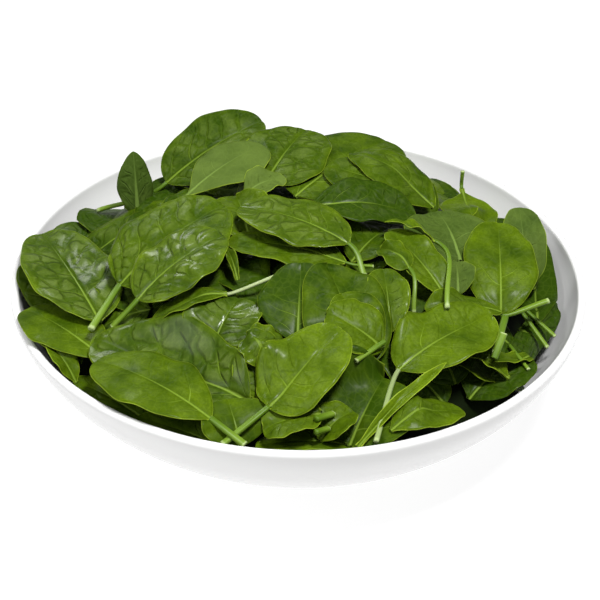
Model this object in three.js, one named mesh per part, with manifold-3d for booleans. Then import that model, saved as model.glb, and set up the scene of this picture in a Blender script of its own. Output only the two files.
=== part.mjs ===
// A wide, shallow white bowl heaped with loose baby spinach leaves.
// Millimetres, +Z up; the origin is the middle of the foot ring's underside.

import * as THREE from "three";
import { mergeVertices } from "three/addons/utils/BufferGeometryUtils.js";
import Module from "manifold-3d";

const wasm = await Module();
wasm.setup();

// Driving dimensions of the bowl
const RIM_RADIUS = 130;
const RIM_HEIGHT = 58;
const WALL = 3.8;
const BELLY_RADIUS = 65.5; // where the wall starts to climb from the base
const BELLY_POWER = 1.3; // 1 is a quarter ellipse, more is a straighter slope
const FOOT_RADIUS = 63;
const FOOT_WIDTH = 5;
const FOOT_RECESS = 1.4;
const FLOOR_HEIGHT = 7.5;
const WALL_STEPS = 8;
const LIP_STEPS = 4;
const LIP_SHARE = 0.954; // the lip's rounding starts this far up the wall
const AROUND = 56;

// Driving dimensions of the heap
const HEAP_RADIUS = 117;
const HEAP_CENTRE_Y = 15;
const HEAP_REACH_FRONT = 131; // from the middle to the edge, towards the front
const HEAP_REACH_BACK = 102; // and towards the back
const HEAP_TOP = 88;
const HEAP_EDGE = 46;
const HEAP_EDGE_FALL = 1; // the edge is this much lower at the back and higher at the front
const HEAP_POWER = 2.3;
const CORE_RADIUS = 111;
const CORE_DROP = 4; // the bare core lies this far under the leaves' own level
const CORE_LUMP = 1.5;
const CORE_AROUND = 30;
const CORE_RINGS = 6;
const CLEARANCE = 0.5; // gap between the heap and the bowl

// Driving dimensions of a leaf
const LEAF_THICKNESS = 1.4;
const LEAF_GAP = 1.6; // from the middle of one leaf to the middle of the leaf it lies on
const STEM_RADIUS = 1.4;
const STEM_SIDES = 4;
const STEM_STEPS = 3;
const PEG_RADIUS = 3; // the packed leaves under each visible one
const PEG_SIDES = 3;
const BIG_LEAF = 38; // leaves at least this wide get the most facets
const SMALL_LEAF = 24; // and leaves narrower than this the fewest

// Shift of the widest place, fullness towards the stem, fullness towards the tip
const FORMS = {
  oval: [0.9, 0.75, 0.42],
  round: [0.85, 0.58, 0.38],
  long: [0.95, 0.9, 0.6],
  spoon: [1.25, 1.1, 0.4],
  heart: [0.62, 0.5, 0.55],
};

// Each leaf: the point where its stem starts, its tip and its width. The third number of a
// point is its height over the heap's own smooth top. Roll, crease and cup are degrees, arch
// is how far the midrib bows up, and stem is the cut end of the stem.
const LEAVES = [
  // low on the wall and deep between the others
  leaf("wall leaf", [-81, -8, -2], [-103, 45, 4], 34, { form: "round", cup: -6 }),
  leaf("left behind", [-103, -28, -2], [-120, 7, 13], 30, { form: "round", cup: -4 }),
  leaf("right dark", [94, -32, -3], [109, -42, -2], 40, { form: "round", cup: 4 }),
  leaf("right low", [73, -77, -6], [97, -53, 2], 34),
  leaf("front low left", [-52, -96, -3], [-91, -71, 6], 20),
  leaf("front low middle", [-26, -112, 1], [-64, -97, 7], 18),
  leaf("back nook", [-58, -5, -2], [-39, 23, -1], 30),

  // the left side
  leaf("left lowest", [-92, -64, 4], [-119, -42, 23], 20, { crease: 6, roll: 8 }),
  leaf("left folded", [-93, -75, 8], [-106, -62, 22], 12, { form: "long", crease: 16 }),
  leaf("left low", [-85, -62, 7], [-119, -29, 21], 30, { cup: -4 }),
  leaf("glossy left", [-38, -74, 1], [-22, -57, 2], 34, { form: "round", cup: 8 }),
  leaf("small dark", [-13, -88, 3], [-20, -73, 6], 18, { form: "round" }),
  leaf("blade low", [-31, -51, 4], [-63, -57, 3], 14, {
    form: "long",
    crease: 10,
    stem: [-8, -46, 6],
  }),
  leaf("left round", [-81, -52, 7], [-120, 17, 20], 42, { form: "round", crease: 6, cup: 2 }),
  leaf("thin edge", [-26, -45, 2], [-32, -25, 4], 9, { form: "long", crease: 20 }),

  // the back
  leaf("back smooth", [-2, 12, 3], [40, 61, 16], 54, { form: "round", cup: -6 }),
  leaf("back quilted", [-17, 19, 3], [2, 63, 16], 44, { form: "round", cup: -4 }),
  leaf("back left big", [-70, 49, 4], [-17, 66, 18], 43, {
    roll: 20,
    crease: 10,
    cup: -4,
    stem: [-97, 50, 3],
  }),
  leaf("back underside", [-52, 13, 6], [-18, 45, 13], 32, { form: "spoon", cup: -6 }),
  leaf("yellow bit", [-25, 13, 2], [-7, 21, 6], 18),
  leaf("dark bit", [-22, -17, 0], [-29, 15, 2], 26, { form: "round" }),
  leaf("back right inner", [45, 14, 3], [12, 30, 9], 34, { cup: -6 }),
  leaf("back right outer", [61, 18, 4], [23, 41, 11], 30, { cup: -6 }),
  leaf("centre back", [5, -1, 6], [52, 7, 4], 28, { cup: -6 }),
  leaf("upright", [-76, 34, -9], [-78, 45, 26], 20, {
    form: "long",
    crease: -24,
    cup: -10,
    free: true,
  }),

  // the centre
  leaf("centre middle", [19, -36, 5], [-31, -21, 4], 26, { crease: -6, stem: [32, -35, 4] }),
  leaf("broad upper", [-74, -36, 8], [-34, -2, 8], 48, {
    form: "round",
    arch: 4,
    cup: -6,
    stem: [-88, -52, 8],
  }),
  leaf("broad lower", [-69, -51, 10], [-34, -26, 9], 38, { arch: 4, cup: -4, stem: [-79, -55, 5] }),
  leaf("centre top", [19, -28, 8], [-26, -3, 8], 32, { arch: 4, cup: -6, stem: [27, -39, 3] }),

  // the right side
  leaf("stem up", [77, 55, 6], [79, 18, -7], 27, { form: "spoon", stem: [77, 57, 15] }),
  leaf("grey wide", [71, -15, 3], [62, 15, 4], 44, { form: "heart", cup: -6 }),
  leaf("right back", [102, -10, 0], [103, 25, 22], 27, { form: "round" }),
  leaf("right big", [91, -38, 6], [88, 6, 16], 34, { arch: 5, cup: -6, stem: [111, -23, 13] }),
  leaf("right piece", [69, -37, 3], [69, -17, 3], 16),
  leaf("folded inner", [62, -42, 6], [39, -9, 7], 24, { crease: 8 }),
  leaf("small with stem", [47, -36, 10], [34, -25, 4], 16, { crease: 16, stem: [48, -53, 4] }),
  leaf("small bright", [42, -59, 3], [35, -35, 13], 22, { crease: 12 }),

  // in front of the centre
  leaf("olive left", [-4, -74, 2], [-3, -40, 8], 27, { form: "round", cup: -6 }),
  leaf("olive right", [41, -66, 3], [9, -38, 7], 34, { cup: -6 }),
  leaf("olive inner", [38, -70, 5], [15, -58, 9], 26, { form: "round", cup: -6 }),
  leaf("pale middle", [37, -79, 6], [10, -66, 7], 29, { cup: -6 }),
  leaf("right band", [88, -32, 10], [54, -48, 3], 22, { cup: -6 }),
  leaf("right curled", [88, -70, 7], [69, -66, 3], 13, { form: "long", crease: 24 }),
  leaf("right tiny", [101, -58, 0], [84, -71, 10], 9, { crease: 16 }),

  // the front
  leaf("front quilted", [-19, -100, 3], [-87, -61, 9], 49, { cup: -6 }),
  leaf("front dark", [22, -115, 5], [36, -86, 2], 46, { form: "round" }),
  leaf("front folded", [10, -115, 6], [23, -104, 6], 20, { crease: 14 }),
  leaf("front under", [-22, -118, 8], [-28, -101, 7], 30),
  leaf("front middle", [10, -108, 9], [-13, -114, 8], 24, { form: "round" }),
  leaf("front left", [-34, -113, 17], [-83, -77, 16], 35, {
    arch: 4,
    cup: -4,
    free: true,
    stem: [-20, -122, 15],
  }),
  leaf("front centre", [-10, -102, 5], [15, -78, 14], 30, { arch: 4, cup: -4, stem: [-29, -118, 12] }),
  leaf("right bottom", [38, -116, 17], [68, -96, 11], 18, { cup: -4 }),
  leaf("right front", [41, -89, 7], [86, -46, 9], 36, { arch: 5, cup: -6, stem: [32, -117, 11] }),
  leaf("edge strip", [59, -16, 12], [29, -11, 11], 12, {
    form: "long",
    roll: 20,
    crease: 8,
    stem: [63, -54, 10],
  }),
  leaf("narrow edge", [27, -118, 11], [61, -85, 17], 10, { form: "long", crease: 24, roll: 16 }),
];

// More leaves cover the back slope, in rings of rising radius from a seeded random order
const BACK_RINGS = [
  { radius: 96, leaves: 6 },
  { radius: 76, leaves: 5 },
];
const BACK_FROM = 42; // degrees round from the right-hand side
const BACK_TO = 136;
const BACK_SEED = 7;

// Stems without a blade: both ends, in the same way
const LOOSE_STEMS = [
  [[92, -44, 4], [84, -64, 4]],
  [[98, -31, 6], [111, -42, 11]],
  [[100, -34, 6], [109, -50, 9]],
  [[24, -92, 7], [35, -83, 8]],
  [[15, -113, 12], [22, -108, 13]],
];

function leaf(name, base, tip, wide, options = {}) {
  const plain = { arch: 3, roll: 0, crease: 4, cup: 6, form: "oval", stem: null, free: false };
  return { name, base, tip, wide, ...plain, ...options };
}

const UP = new THREE.Vector3(0, 0, 1);
const { clamp, degToRad, lerp } = THREE.MathUtils;

// The bowl's wall as a curve: 0 is the edge of the base, 1 the rim
function outerWall(share) {
  const a = (share * Math.PI) / 2;
  return new THREE.Vector2(
    BELLY_RADIUS + (RIM_RADIUS - BELLY_RADIUS) * Math.sin(a) ** BELLY_POWER,
    RIM_HEIGHT * (1 - Math.cos(a) ** BELLY_POWER),
  );
}

function innerWall(share) {
  const step = 0.01;
  const along = outerWall(share).sub(outerWall(share - step)).normalize();
  const inward = new THREE.Vector2(-along.y, along.x);
  return outerWall(share).addScaledVector(inward, WALL);
}

// Turns a profile of (distance from the axis, height) about the upright axis.
function turned(points, around) {
  return new THREE.LatheGeometry(points, around).rotateX(Math.PI / 2);
}

function bowlGeometry() {
  const points = [
    new THREE.Vector2(0, FOOT_RECESS),
    new THREE.Vector2(FOOT_RADIUS - FOOT_WIDTH, FOOT_RECESS),
    new THREE.Vector2(FOOT_RADIUS - FOOT_WIDTH, 0),
    new THREE.Vector2(FOOT_RADIUS, 0),
  ];
  for (let i = 1; i <= WALL_STEPS; i++) {
    points.push(outerWall((i / WALL_STEPS) * LIP_SHARE));
  }
  const outside = outerWall(LIP_SHARE);
  const inside = innerWall(LIP_SHARE);
  const middle = outside.clone().add(inside).multiplyScalar(0.5);
  const radius = outside.distanceTo(middle);
  const start = Math.atan2(outside.y - middle.y, outside.x - middle.x);
  for (let i = 1; i < LIP_STEPS; i++) {
    const a = start + (Math.PI * i) / LIP_STEPS;
    points.push(new THREE.Vector2(middle.x + radius * Math.cos(a), middle.y + radius * Math.sin(a)));
  }
  for (let i = WALL_STEPS; i >= 2; i--) {
    points.push(innerWall((i / WALL_STEPS) * LIP_SHARE));
  }
  points.push(new THREE.Vector2(0, FLOOR_HEIGHT));
  return turned(points, AROUND);
}

// Height of the bowl's inside over the table, by distance from its axis
const INSIDE = [new THREE.Vector2(0, FLOOR_HEIGHT)];
for (let i = 2; i <= WALL_STEPS; i++) INSIDE.push(innerWall((i / WALL_STEPS) * LIP_SHARE));

function bowlInside(distance) {
  if (distance > RIM_RADIUS) return 0;
  const last = INSIDE[INSIDE.length - 1];
  if (distance > last.x) return RIM_HEIGHT;
  const next = INSIDE.findIndex((point) => point.x >= distance && point.x > 0);
  const a = INSIDE[next - 1];
  const b = INSIDE[next];
  return lerp(a.y, b.y, (distance - a.x) / (b.x - a.x));
}

// The heap's own smooth top
function heapTop(x, y) {
  const reach = y < HEAP_CENTRE_Y ? HEAP_REACH_FRONT : HEAP_REACH_BACK;
  const share = Math.min(1.15, Math.hypot(x / HEAP_RADIUS, (y - HEAP_CENTRE_Y) / reach));
  const edge = HEAP_EDGE - (HEAP_EDGE_FALL * y) / HEAP_RADIUS;
  return edge + (HEAP_TOP - edge) * (1 - share ** HEAP_POWER);
}

function onHeap([x, y, lift]) {
  return new THREE.Vector3(x, y, heapTop(x, y) + lift);
}

// A height map of what lies in the bowl so far, one cell per millimetre
const HALF = 140;
const SIDE = 2 * HALF + 1;
const heights = new Float64Array(SIDE * SIDE);
for (let i = 0; i < SIDE; i++) {
  for (let j = 0; j < SIDE; j++) {
    const x = i - HALF;
    const y = j - HALF;
    const distance = Math.hypot(x, y);
    const core = distance < CORE_RADIUS ? heapTop(x, y) - CORE_DROP : 0;
    heights[i * SIDE + j] = Math.max(bowlInside(distance) + CLEARANCE, core);
  }
}

function heightAt(x, y) {
  const i = clamp(Math.round(x) + HALF, 0, SIDE - 1);
  const j = clamp(Math.round(y) + HALF, 0, SIDE - 1);
  return heights[i * SIDE + j];
}

function raiseTo(x, y, z) {
  const i = clamp(Math.round(x) + HALF, 0, SIDE - 1);
  const j = clamp(Math.round(y) + HALF, 0, SIDE - 1);
  heights[i * SIDE + j] = Math.max(heights[i * SIDE + j], z);
}

// Half the width of a blade at a share of its length, 0 at the stem and 1 at the tip
function halfWidth({ form, wide }, share) {
  const [shift, towardsStem, towardsTip] = FORMS[form];
  const place = share ** shift;
  const fullness = place < 0.5 ? towardsStem : towardsTip;
  const round = clamp(Math.sin(Math.PI * place), 0, 1) ** fullness;
  return Math.max((wide / 2) * round, share < 0.5 ? 1.1 : 0.7);
}

// The midrib's point and its three directions: along, to the left and up from the face
function spine(leaf, share) {
  const base = onHeap(leaf.base);
  const tip = onHeap(leaf.tip);
  const chord = tip.clone().sub(base).normalize();
  const across = UP.clone().cross(chord).normalize();
  const over = chord.clone().cross(across);
  const bow = base.clone().lerp(tip, 0.5).addScaledVector(over, 2 * leaf.arch);
  const first = base.clone().lerp(bow, share);
  const second = bow.clone().lerp(tip, share);
  const along = second.clone().sub(first).normalize();
  const flatLeft = over.clone().cross(along).normalize();
  const flatUp = along.clone().cross(flatLeft);
  const roll = degToRad(leaf.roll);
  return {
    point: first.lerp(second, share),
    left: flatLeft.clone().multiplyScalar(Math.cos(roll)).addScaledVector(flatUp, Math.sin(roll)),
    up: flatUp.clone().multiplyScalar(Math.cos(roll)).addScaledVector(flatLeft, -Math.sin(roll)),
  };
}

// How far a point of the blade lies out and up from the midrib after `length` of leaf
function crossSection(leaf, length) {
  const steps = 6;
  let out = 0;
  let rise = 0;
  for (let i = 0; i < steps; i++) {
    const gone = (length * (i + 0.5)) / steps;
    const slope = degToRad(leaf.crease + (leaf.cup * 2 * gone) / (leaf.wide / 2));
    out += (Math.cos(slope) * length) / steps;
    rise += (Math.sin(slope) * length) / steps;
  }
  return [out, rise];
}

// A blade is worked out on this many places along it and across it
const ROWS = 25;
const COLUMNS = 13;

function bladeGrid(leaf) {
  const grid = [];
  for (let i = 0; i < ROWS; i++) {
    const share = (1 - Math.cos((Math.PI * i) / (ROWS - 1))) / 2;
    const { point, left, up } = spine(leaf, share);
    const half = halfWidth(leaf, share);
    const row = [];
    for (let j = 0; j < COLUMNS; j++) {
      const side = (2 * j) / (COLUMNS - 1) - 1;
      const [out, rise] = crossSection(leaf, Math.abs(side) * half);
      row.push(point.clone().addScaledVector(left, out * Math.sign(side)).addScaledVector(up, rise));
    }
    grid.push(row);
  }
  return grid;
}

// Each place takes the mean of its four neighbours; the border repeats itself outwards.
function smoothed(lifts) {
  const at = (i, j) => lifts[clamp(i, 0, ROWS - 1)][clamp(j, 0, COLUMNS - 1)];
  return lifts.map((row, i) => {
    return row.map((_, j) => (at(i - 1, j) + at(i + 1, j) + at(i, j - 1) + at(i, j + 1)) / 4);
  });
}

// Lays a blade on what is there already: it is lifted where it would sink in, and bends gently.
function settle(grid) {
  const needs = grid.map((row) => row.map((p) => Math.max(heightAt(p.x, p.y) + LEAF_GAP - p.z, 0)));
  let lifts = needs;
  for (let round = 0; round < 30; round++) {
    lifts = smoothed(lifts).map((row, i) => row.map((lift, j) => Math.max(lift, needs[i][j])));
  }
  for (let round = 0; round < 4; round++) lifts = smoothed(lifts);
  grid.forEach((row, i) => row.forEach((p, j) => (p.z += lifts[i][j])));
}

// Marks a blade in the height map.
function press(grid) {
  const fine = 4;
  for (let i = 0; i < (ROWS - 1) * fine; i++) {
    for (let j = 0; j < (COLUMNS - 1) * fine; j++) {
      const [row, column] = [Math.floor(i / fine), Math.floor(j / fine)];
      const [a, b] = [(i % fine) / fine, (j % fine) / fine];
      const near = grid[row][column].clone().lerp(grid[row][column + 1], b);
      const far = grid[row + 1][column].clone().lerp(grid[row + 1][column + 1], b);
      near.lerp(far, a);
      raiseTo(near.x, near.y, near.z);
    }
  }
}

// A closed solid from points and from faces given as lists of point numbers
function solid(points, faces) {
  const corners = points.flatMap((p) => [p.x, p.y, p.z]);
  const mesh = new wasm.Mesh({
    numProp: 3,
    vertProperties: new Float32Array(corners),
    triVerts: new Uint32Array(faces.flat()),
  });
  return new wasm.Manifold(mesh);
}

function solidFrom(geometry) {
  const bare = new THREE.BufferGeometry();
  bare.setAttribute("position", geometry.getAttribute("position"));
  bare.setIndex(geometry.index);
  const merged = mergeVertices(bare, 1e-3);
  const position = merged.getAttribute("position");
  const points = [];
  for (let i = 0; i < position.count; i++) {
    points.push(new THREE.Vector3().fromBufferAttribute(position, i));
  }
  const faces = [];
  for (let i = 0; i < merged.index.count; i += 3) {
    const [a, b, c] = [0, 1, 2].map((k) => merged.index.getX(i + k));
    if (a !== b && b !== c && c !== a) faces.push([a, b, c]);
  }
  return solid(points, faces);
}

// The blade as a thin plate, both faces split into triangles alike
function bladeSolid(leaf, grid) {
  const big = leaf.wide >= BIG_LEAF;
  const rowStep = big ? 4 : leaf.wide < SMALL_LEAF ? 8 : 6;
  const columnStep = big ? 3 : 6;
  const kept = grid.filter((_, i) => i % rowStep === 0);
  const plate = kept.map((row) => row.filter((_, j) => j % columnStep === 0));
  const rows = plate.length;
  const columns = plate[0].length;
  const points = [];
  for (const side of [0.5, -0.5]) {
    for (let i = 0; i < rows; i++) {
      for (let j = 0; j < columns; j++) {
        const along = plate[Math.min(i + 1, rows - 1)][j].clone().sub(plate[Math.max(i - 1, 0)][j]);
        const across = plate[i][Math.min(j + 1, columns - 1)].clone().sub(plate[i][Math.max(j - 1, 0)]);
        const normal = along.cross(across).normalize();
        points.push(plate[i][j].clone().addScaledVector(normal, side * LEAF_THICKNESS));
      }
    }
  }
  const top = (i, j) => i * columns + j;
  const under = (i, j) => rows * columns + i * columns + j;
  const faces = [];
  for (let i = 0; i < rows - 1; i++) {
    for (let j = 0; j < columns - 1; j++) {
      faces.push([top(i, j), top(i + 1, j), top(i + 1, j + 1)]);
      faces.push([top(i, j), top(i + 1, j + 1), top(i, j + 1)]);
      faces.push([under(i, j), under(i + 1, j + 1), under(i + 1, j)]);
      faces.push([under(i, j), under(i, j + 1), under(i + 1, j + 1)]);
    }
  }
  const border = [];
  for (let i = 0; i < rows - 1; i++) border.push([i, 0]);
  for (let j = 0; j < columns - 1; j++) border.push([rows - 1, j]);
  for (let i = rows - 1; i > 0; i--) border.push([i, columns - 1]);
  for (let j = columns - 1; j > 0; j--) border.push([0, j]);
  border.forEach((here, k) => {
    const next = border[(k + 1) % border.length];
    faces.push([under(...here), under(...next), top(...next)]);
    faces.push([under(...here), top(...next), top(...here)]);
  });
  return solid(points, faces);
}

// A rod with flat ends along a line of points
function rod(line, radius, sides) {
  const points = [];
  const faces = [];
  const corner = (i, k) => i * sides + (k % sides);
  line.forEach((middle, i) => {
    const next = line[Math.min(i + 1, line.length - 1)];
    const along = next.clone().sub(line[Math.max(i - 1, 0)]).normalize();
    const steep = Math.abs(along.z) > 0.99;
    const side = (steep ? new THREE.Vector3(1, 0, 0) : UP.clone()).cross(along).normalize();
    const other = along.clone().cross(side);
    for (let k = 0; k < sides; k++) {
      const a = (2 * Math.PI * k) / sides;
      const rim = middle.clone().addScaledVector(side, radius * Math.cos(a));
      points.push(rim.addScaledVector(other, radius * Math.sin(a)));
      if (i === 0) continue;
      faces.push([corner(i - 1, k), corner(i - 1, k + 1), corner(i, k + 1)]);
      faces.push([corner(i - 1, k), corner(i, k + 1), corner(i, k)]);
    }
  });
  const last = line.length - 1;
  for (let k = 1; k < sides - 1; k++) {
    faces.push([corner(0, 0), corner(0, k + 1), corner(0, k)]);
    faces.push([corner(last, 0), corner(last, k), corner(last, k + 1)]);
  }
  return solid(points, faces);
}

// A stem leaves the blade in line with the midrib and bends towards its cut end.
function stemLine(leaf, grid) {
  const middle = (COLUMNS - 1) / 2;
  const start = grid[1][middle];
  const along = grid[2][middle].clone().sub(grid[0][middle]).normalize();
  const end = onHeap(leaf.stem);
  const length = end.distanceTo(start);
  const first = start.clone().addScaledVector(along, -0.4 * length);
  const second = end.clone().lerp(start, 0.3);
  const line = new THREE.CubicBezierCurve3(start, first, second, end).getPoints(STEM_STEPS);
  for (const p of line.slice(1)) p.z = Math.max(p.z, heightAt(p.x, p.y) + STEM_RADIUS * 0.6);
  return line;
}

// What lies packed under a leaf, as a peg down into the core
function pegUnder(point) {
  const foot = point.clone();
  foot.z = heapTop(point.x, point.y) - CORE_DROP - 4;
  return rod([foot, point.clone()], PEG_RADIUS, PEG_SIDES);
}

function coreSolid() {
  const points = [new THREE.Vector2(0, FLOOR_HEIGHT + CLEARANCE)];
  const foot = WALL + CLEARANCE;
  for (let share = 0.24; share < 0.9; share += 0.12) {
    const wall = outerWall(share);
    const along = outerWall(share).sub(outerWall(share - 0.01)).normalize();
    wall.addScaledVector(new THREE.Vector2(-along.y, along.x), foot);
    if (wall.x < CORE_RADIUS) points.push(wall);
  }
  const under = points.length;
  for (let i = CORE_RINGS; i >= 0; i--) {
    points.push(new THREE.Vector2((CORE_RADIUS * i) / CORE_RINGS, 40));
  }
  const geometry = turned(points, CORE_AROUND);
  const position = geometry.getAttribute("position");
  for (let i = 0; i < position.count; i++) {
    if (i % points.length < under) continue;
    const [x, y] = [position.getX(i), position.getY(i)];
    const lump = Math.sin(x / 9 + 1) * Math.cos(y / 11) + Math.sin((x + y) / 17);
    position.setZ(i, heapTop(x, y) - CORE_DROP + CORE_LUMP * lump);
  }
  return solidFrom(geometry);
}

// The room that the bowl leaves free, so that nothing in the heap reaches into it
function roomSolid() {
  const points = [new THREE.Vector2(0, FLOOR_HEIGHT + CLEARANCE * 0.8)];
  for (let i = 2; i <= WALL_STEPS; i++) {
    const wall = innerWall((i / WALL_STEPS) * LIP_SHARE);
    points.push(new THREE.Vector2(wall.x - CLEARANCE, wall.y + (i < WALL_STEPS ? CLEARANCE * 0.5 : 0)));
  }
  const overRim = RIM_HEIGHT + 2 * CLEARANCE;
  points.push(new THREE.Vector2(RIM_RADIUS - WALL - CLEARANCE, overRim));
  points.push(new THREE.Vector2(RIM_RADIUS + 20, overRim));
  points.push(new THREE.Vector2(RIM_RADIUS + 20, 2 * HEAP_TOP));
  points.push(new THREE.Vector2(0, 2 * HEAP_TOP));
  return solidFrom(turned(points, AROUND));
}

// Numbers from 0 to 1 in an order that is the same each time
function randomFrom(seed) {
  let state = seed;
  return () => {
    state = (state * 16807) % 2147483647;
    return state / 2147483647;
  };
}

function backLeaves() {
  const random = randomFrom(BACK_SEED);
  const between = (low, high) => Math.round(lerp(low, high, random()));
  const found = [];
  for (const ring of BACK_RINGS) {
    for (let k = 0; k < ring.leaves; k++) {
      const place = degToRad(lerp(BACK_FROM, BACK_TO, (k + 0.5) / ring.leaves) + between(-6, 6));
      const turn = place + Math.PI / 2 + degToRad(between(-70, 70));
      const half = between(18, 24);
      const middle = [ring.radius * Math.cos(place), ring.radius * Math.sin(place)];
      const reach = [half * Math.cos(turn), half * Math.sin(turn)];
      const base = [Math.round(middle[0] - reach[0]), Math.round(middle[1] - reach[1]), -6];
      const tip = [Math.round(middle[0] + reach[0]), Math.round(middle[1] + reach[1]), -5];
      const form = k % 2 ? "round" : "oval";
      found.push(leaf("back slope", base, tip, between(26, 34), { form, cup: -4 }));
    }
  }
  return found;
}

function heapSolid() {
  let heap = coreSolid();
  for (const one of [...backLeaves(), ...LEAVES]) {
    const grid = bladeGrid(one);
    if (!one.free) settle(grid);
    const blade = bladeSolid(one, grid);
    const held = heap.intersect(blade).volume() > 1;
    heap = heap.add(blade);
    if (!held) heap = heap.add(pegUnder(grid[(ROWS - 1) / 2][(COLUMNS - 1) / 2]));
    if (one.stem) heap = heap.add(rod(stemLine(one, grid), STEM_RADIUS, STEM_SIDES));
    press(grid);
  }
  for (const ends of LOOSE_STEMS) {
    heap = heap.add(rod(ends.map(onHeap), STEM_RADIUS, STEM_SIDES));
  }
  const bodies = heap.intersect(roomSolid()).decompose();
  return bodies.reduce((most, body) => (body.volume() > most.volume() ? body : most));
}

function geometryFrom(body) {
  const { vertProperties, triVerts } = body.getMesh();
  const geometry = new THREE.BufferGeometry();
  geometry.setAttribute("position", new THREE.BufferAttribute(vertProperties, 3));
  geometry.setIndex(new THREE.BufferAttribute(triVerts, 1));
  return geometry;
}

const porcelain = new THREE.MeshStandardMaterial({ color: 0xf2f2f0, roughness: 0.2 });
const greens = new THREE.MeshStandardMaterial({
  color: 0x3f7d1c,
  roughness: 0.45,
  flatShading: true,
});

const bowl = new THREE.Mesh(bowlGeometry(), porcelain);
bowl.name = "bowl";
const spinach = new THREE.Mesh(geometryFrom(heapSolid()), greens);
spinach.name = "spinach";

const part = new THREE.Group();
part.name = "bowl of spinach";
part.add(bowl, spinach);

export default part;
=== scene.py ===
# %% [markdown]
# # A bowl heaped with baby spinach
# The photograph shows a wide, shallow white bowl and, heaped over its rim, loose young spinach
# leaves. Two solids come in as the fixed frame: the bowl, and the heap as one lump. Both are
# replaced here by finer pieces in the same place: a smooth glazed bowl, and real leaves one by
# one on a dark core. Sizes are millimetres here, and MM turns them into Blender's metres.

import math

import bpy
import numpy as np
from mathutils import Matrix, Vector


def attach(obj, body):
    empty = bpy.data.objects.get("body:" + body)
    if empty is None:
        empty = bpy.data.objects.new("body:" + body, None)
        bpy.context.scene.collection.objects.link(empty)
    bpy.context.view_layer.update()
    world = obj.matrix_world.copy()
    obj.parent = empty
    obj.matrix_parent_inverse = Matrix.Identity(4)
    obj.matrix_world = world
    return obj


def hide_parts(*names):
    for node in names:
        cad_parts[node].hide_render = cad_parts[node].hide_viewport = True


MM = 0.001
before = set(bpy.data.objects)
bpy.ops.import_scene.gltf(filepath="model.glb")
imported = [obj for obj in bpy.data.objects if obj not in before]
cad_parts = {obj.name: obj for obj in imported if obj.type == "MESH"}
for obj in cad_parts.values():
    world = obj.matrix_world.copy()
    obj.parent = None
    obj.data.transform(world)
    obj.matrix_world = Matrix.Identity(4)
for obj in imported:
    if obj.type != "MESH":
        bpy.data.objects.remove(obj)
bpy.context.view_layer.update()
print("nodes of the frame:", sorted(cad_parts))

# %% [markdown]
# ## The camera
# A camera can be moved by eye until its picture fits, or worked out from a shape that is known.
# The bowl's rim is a true circle, so the ellipse that it draws in the photograph gives the
# camera's height, distance and tilt, and that is more exact. It looks down by 34.5 degrees from
# 0.78 m away, with a long lens, and is turned by one degree, because the rim's left end lies a
# little higher than its right end.

# %% Set up the camera
LOOK_DOWN = math.radians(34.54)
DISTANCE = 780 * MM
ROLL = math.radians(1.05)
LOOKED_AT = Vector((0.8, 0, 42.4)) * MM
LENS = 101.7
SENSOR = 36

backwards = Vector((0, -math.cos(LOOK_DOWN), math.sin(LOOK_DOWN)))
level_right = Vector((1, 0, 0))
level_up = backwards.cross(level_right)
right = level_right * math.cos(ROLL) + level_up * math.sin(ROLL)
up = level_up * math.cos(ROLL) - level_right * math.sin(ROLL)

lens = bpy.data.cameras.new("camera")
lens.lens = LENS
lens.sensor_width = SENSOR
camera = bpy.data.objects.new("camera", lens)
turn = Matrix((right, up, backwards)).transposed().to_4x4()
camera.matrix_world = Matrix.Translation(LOOKED_AT + backwards * DISTANCE) @ turn
bpy.context.scene.collection.objects.link(camera)
bpy.context.scene.camera = camera
print("camera at", [round(value, 3) for value in camera.matrix_world.translation])

# %% [markdown]
# ## The bowl's wall
# A bowl like this is turned, so every cut through its axis shows the same wall. The line of that
# wall could be drawn by hand as a curve. A formula was chosen, because the leaves need it too, to
# know where the inside is. The outside climbs from the base as a quarter of an ellipse that a
# power makes straighter. The inside is the same line, moved inwards by the wall's thickness.

# %% Describe the wall
RIM_RADIUS = 130
RIM_HEIGHT = 58
WALL = 3.8
BELLY_RADIUS = 65.5  # where the wall starts to climb
BELLY_POWER = 1.3  # 1 would be an ellipse
FLOOR_HEIGHT = 7.5
LIP_SHARE = 0.954  # where the wall ends and the lip begins


def outer_wall(share):
    """Distance from the axis and height of the outside, from the base (0) to the rim (1)."""
    angle = share * math.pi / 2
    out = BELLY_RADIUS + (RIM_RADIUS - BELLY_RADIUS) * math.sin(angle) ** BELLY_POWER
    height = RIM_HEIGHT * (1 - max(math.cos(angle), 0) ** BELLY_POWER)
    return np.array([out, height])


def inner_wall(share):
    """The same line, moved inwards by the wall's thickness."""
    along = outer_wall(share) - outer_wall(share - 0.01)
    along = along / np.linalg.norm(along)
    return outer_wall(share) + WALL * np.array([-along[1], along[0]])


print("outside half way up:", outer_wall(0.5).round(1), "inside:", inner_wall(0.5).round(1))

# %% [markdown]
# The outline runs from the middle of the underside over the foot ring, up the outside, over the
# lip as half a circle, and down the inside to the middle. A Bevel modifier could round the foot
# ring's corners, but it would have to leave the rest alone. A few points beside them keep
# them crisp but not sharp, as a thin glaze does.

# %% Draw the closed outline
FOOT_RADIUS = 63
FOOT_WIDTH = 5
FOOT_RECESS = 1.4
FOOT_CORNER = 0.4
FOOT_EDGE = 0.6  # how far the ring's lower edges are rounded
WALL_STEPS = 40
WALL_START = 8  # the inside's first steps are left to the floor's soft hollow
LIP_STEPS = 12


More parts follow.
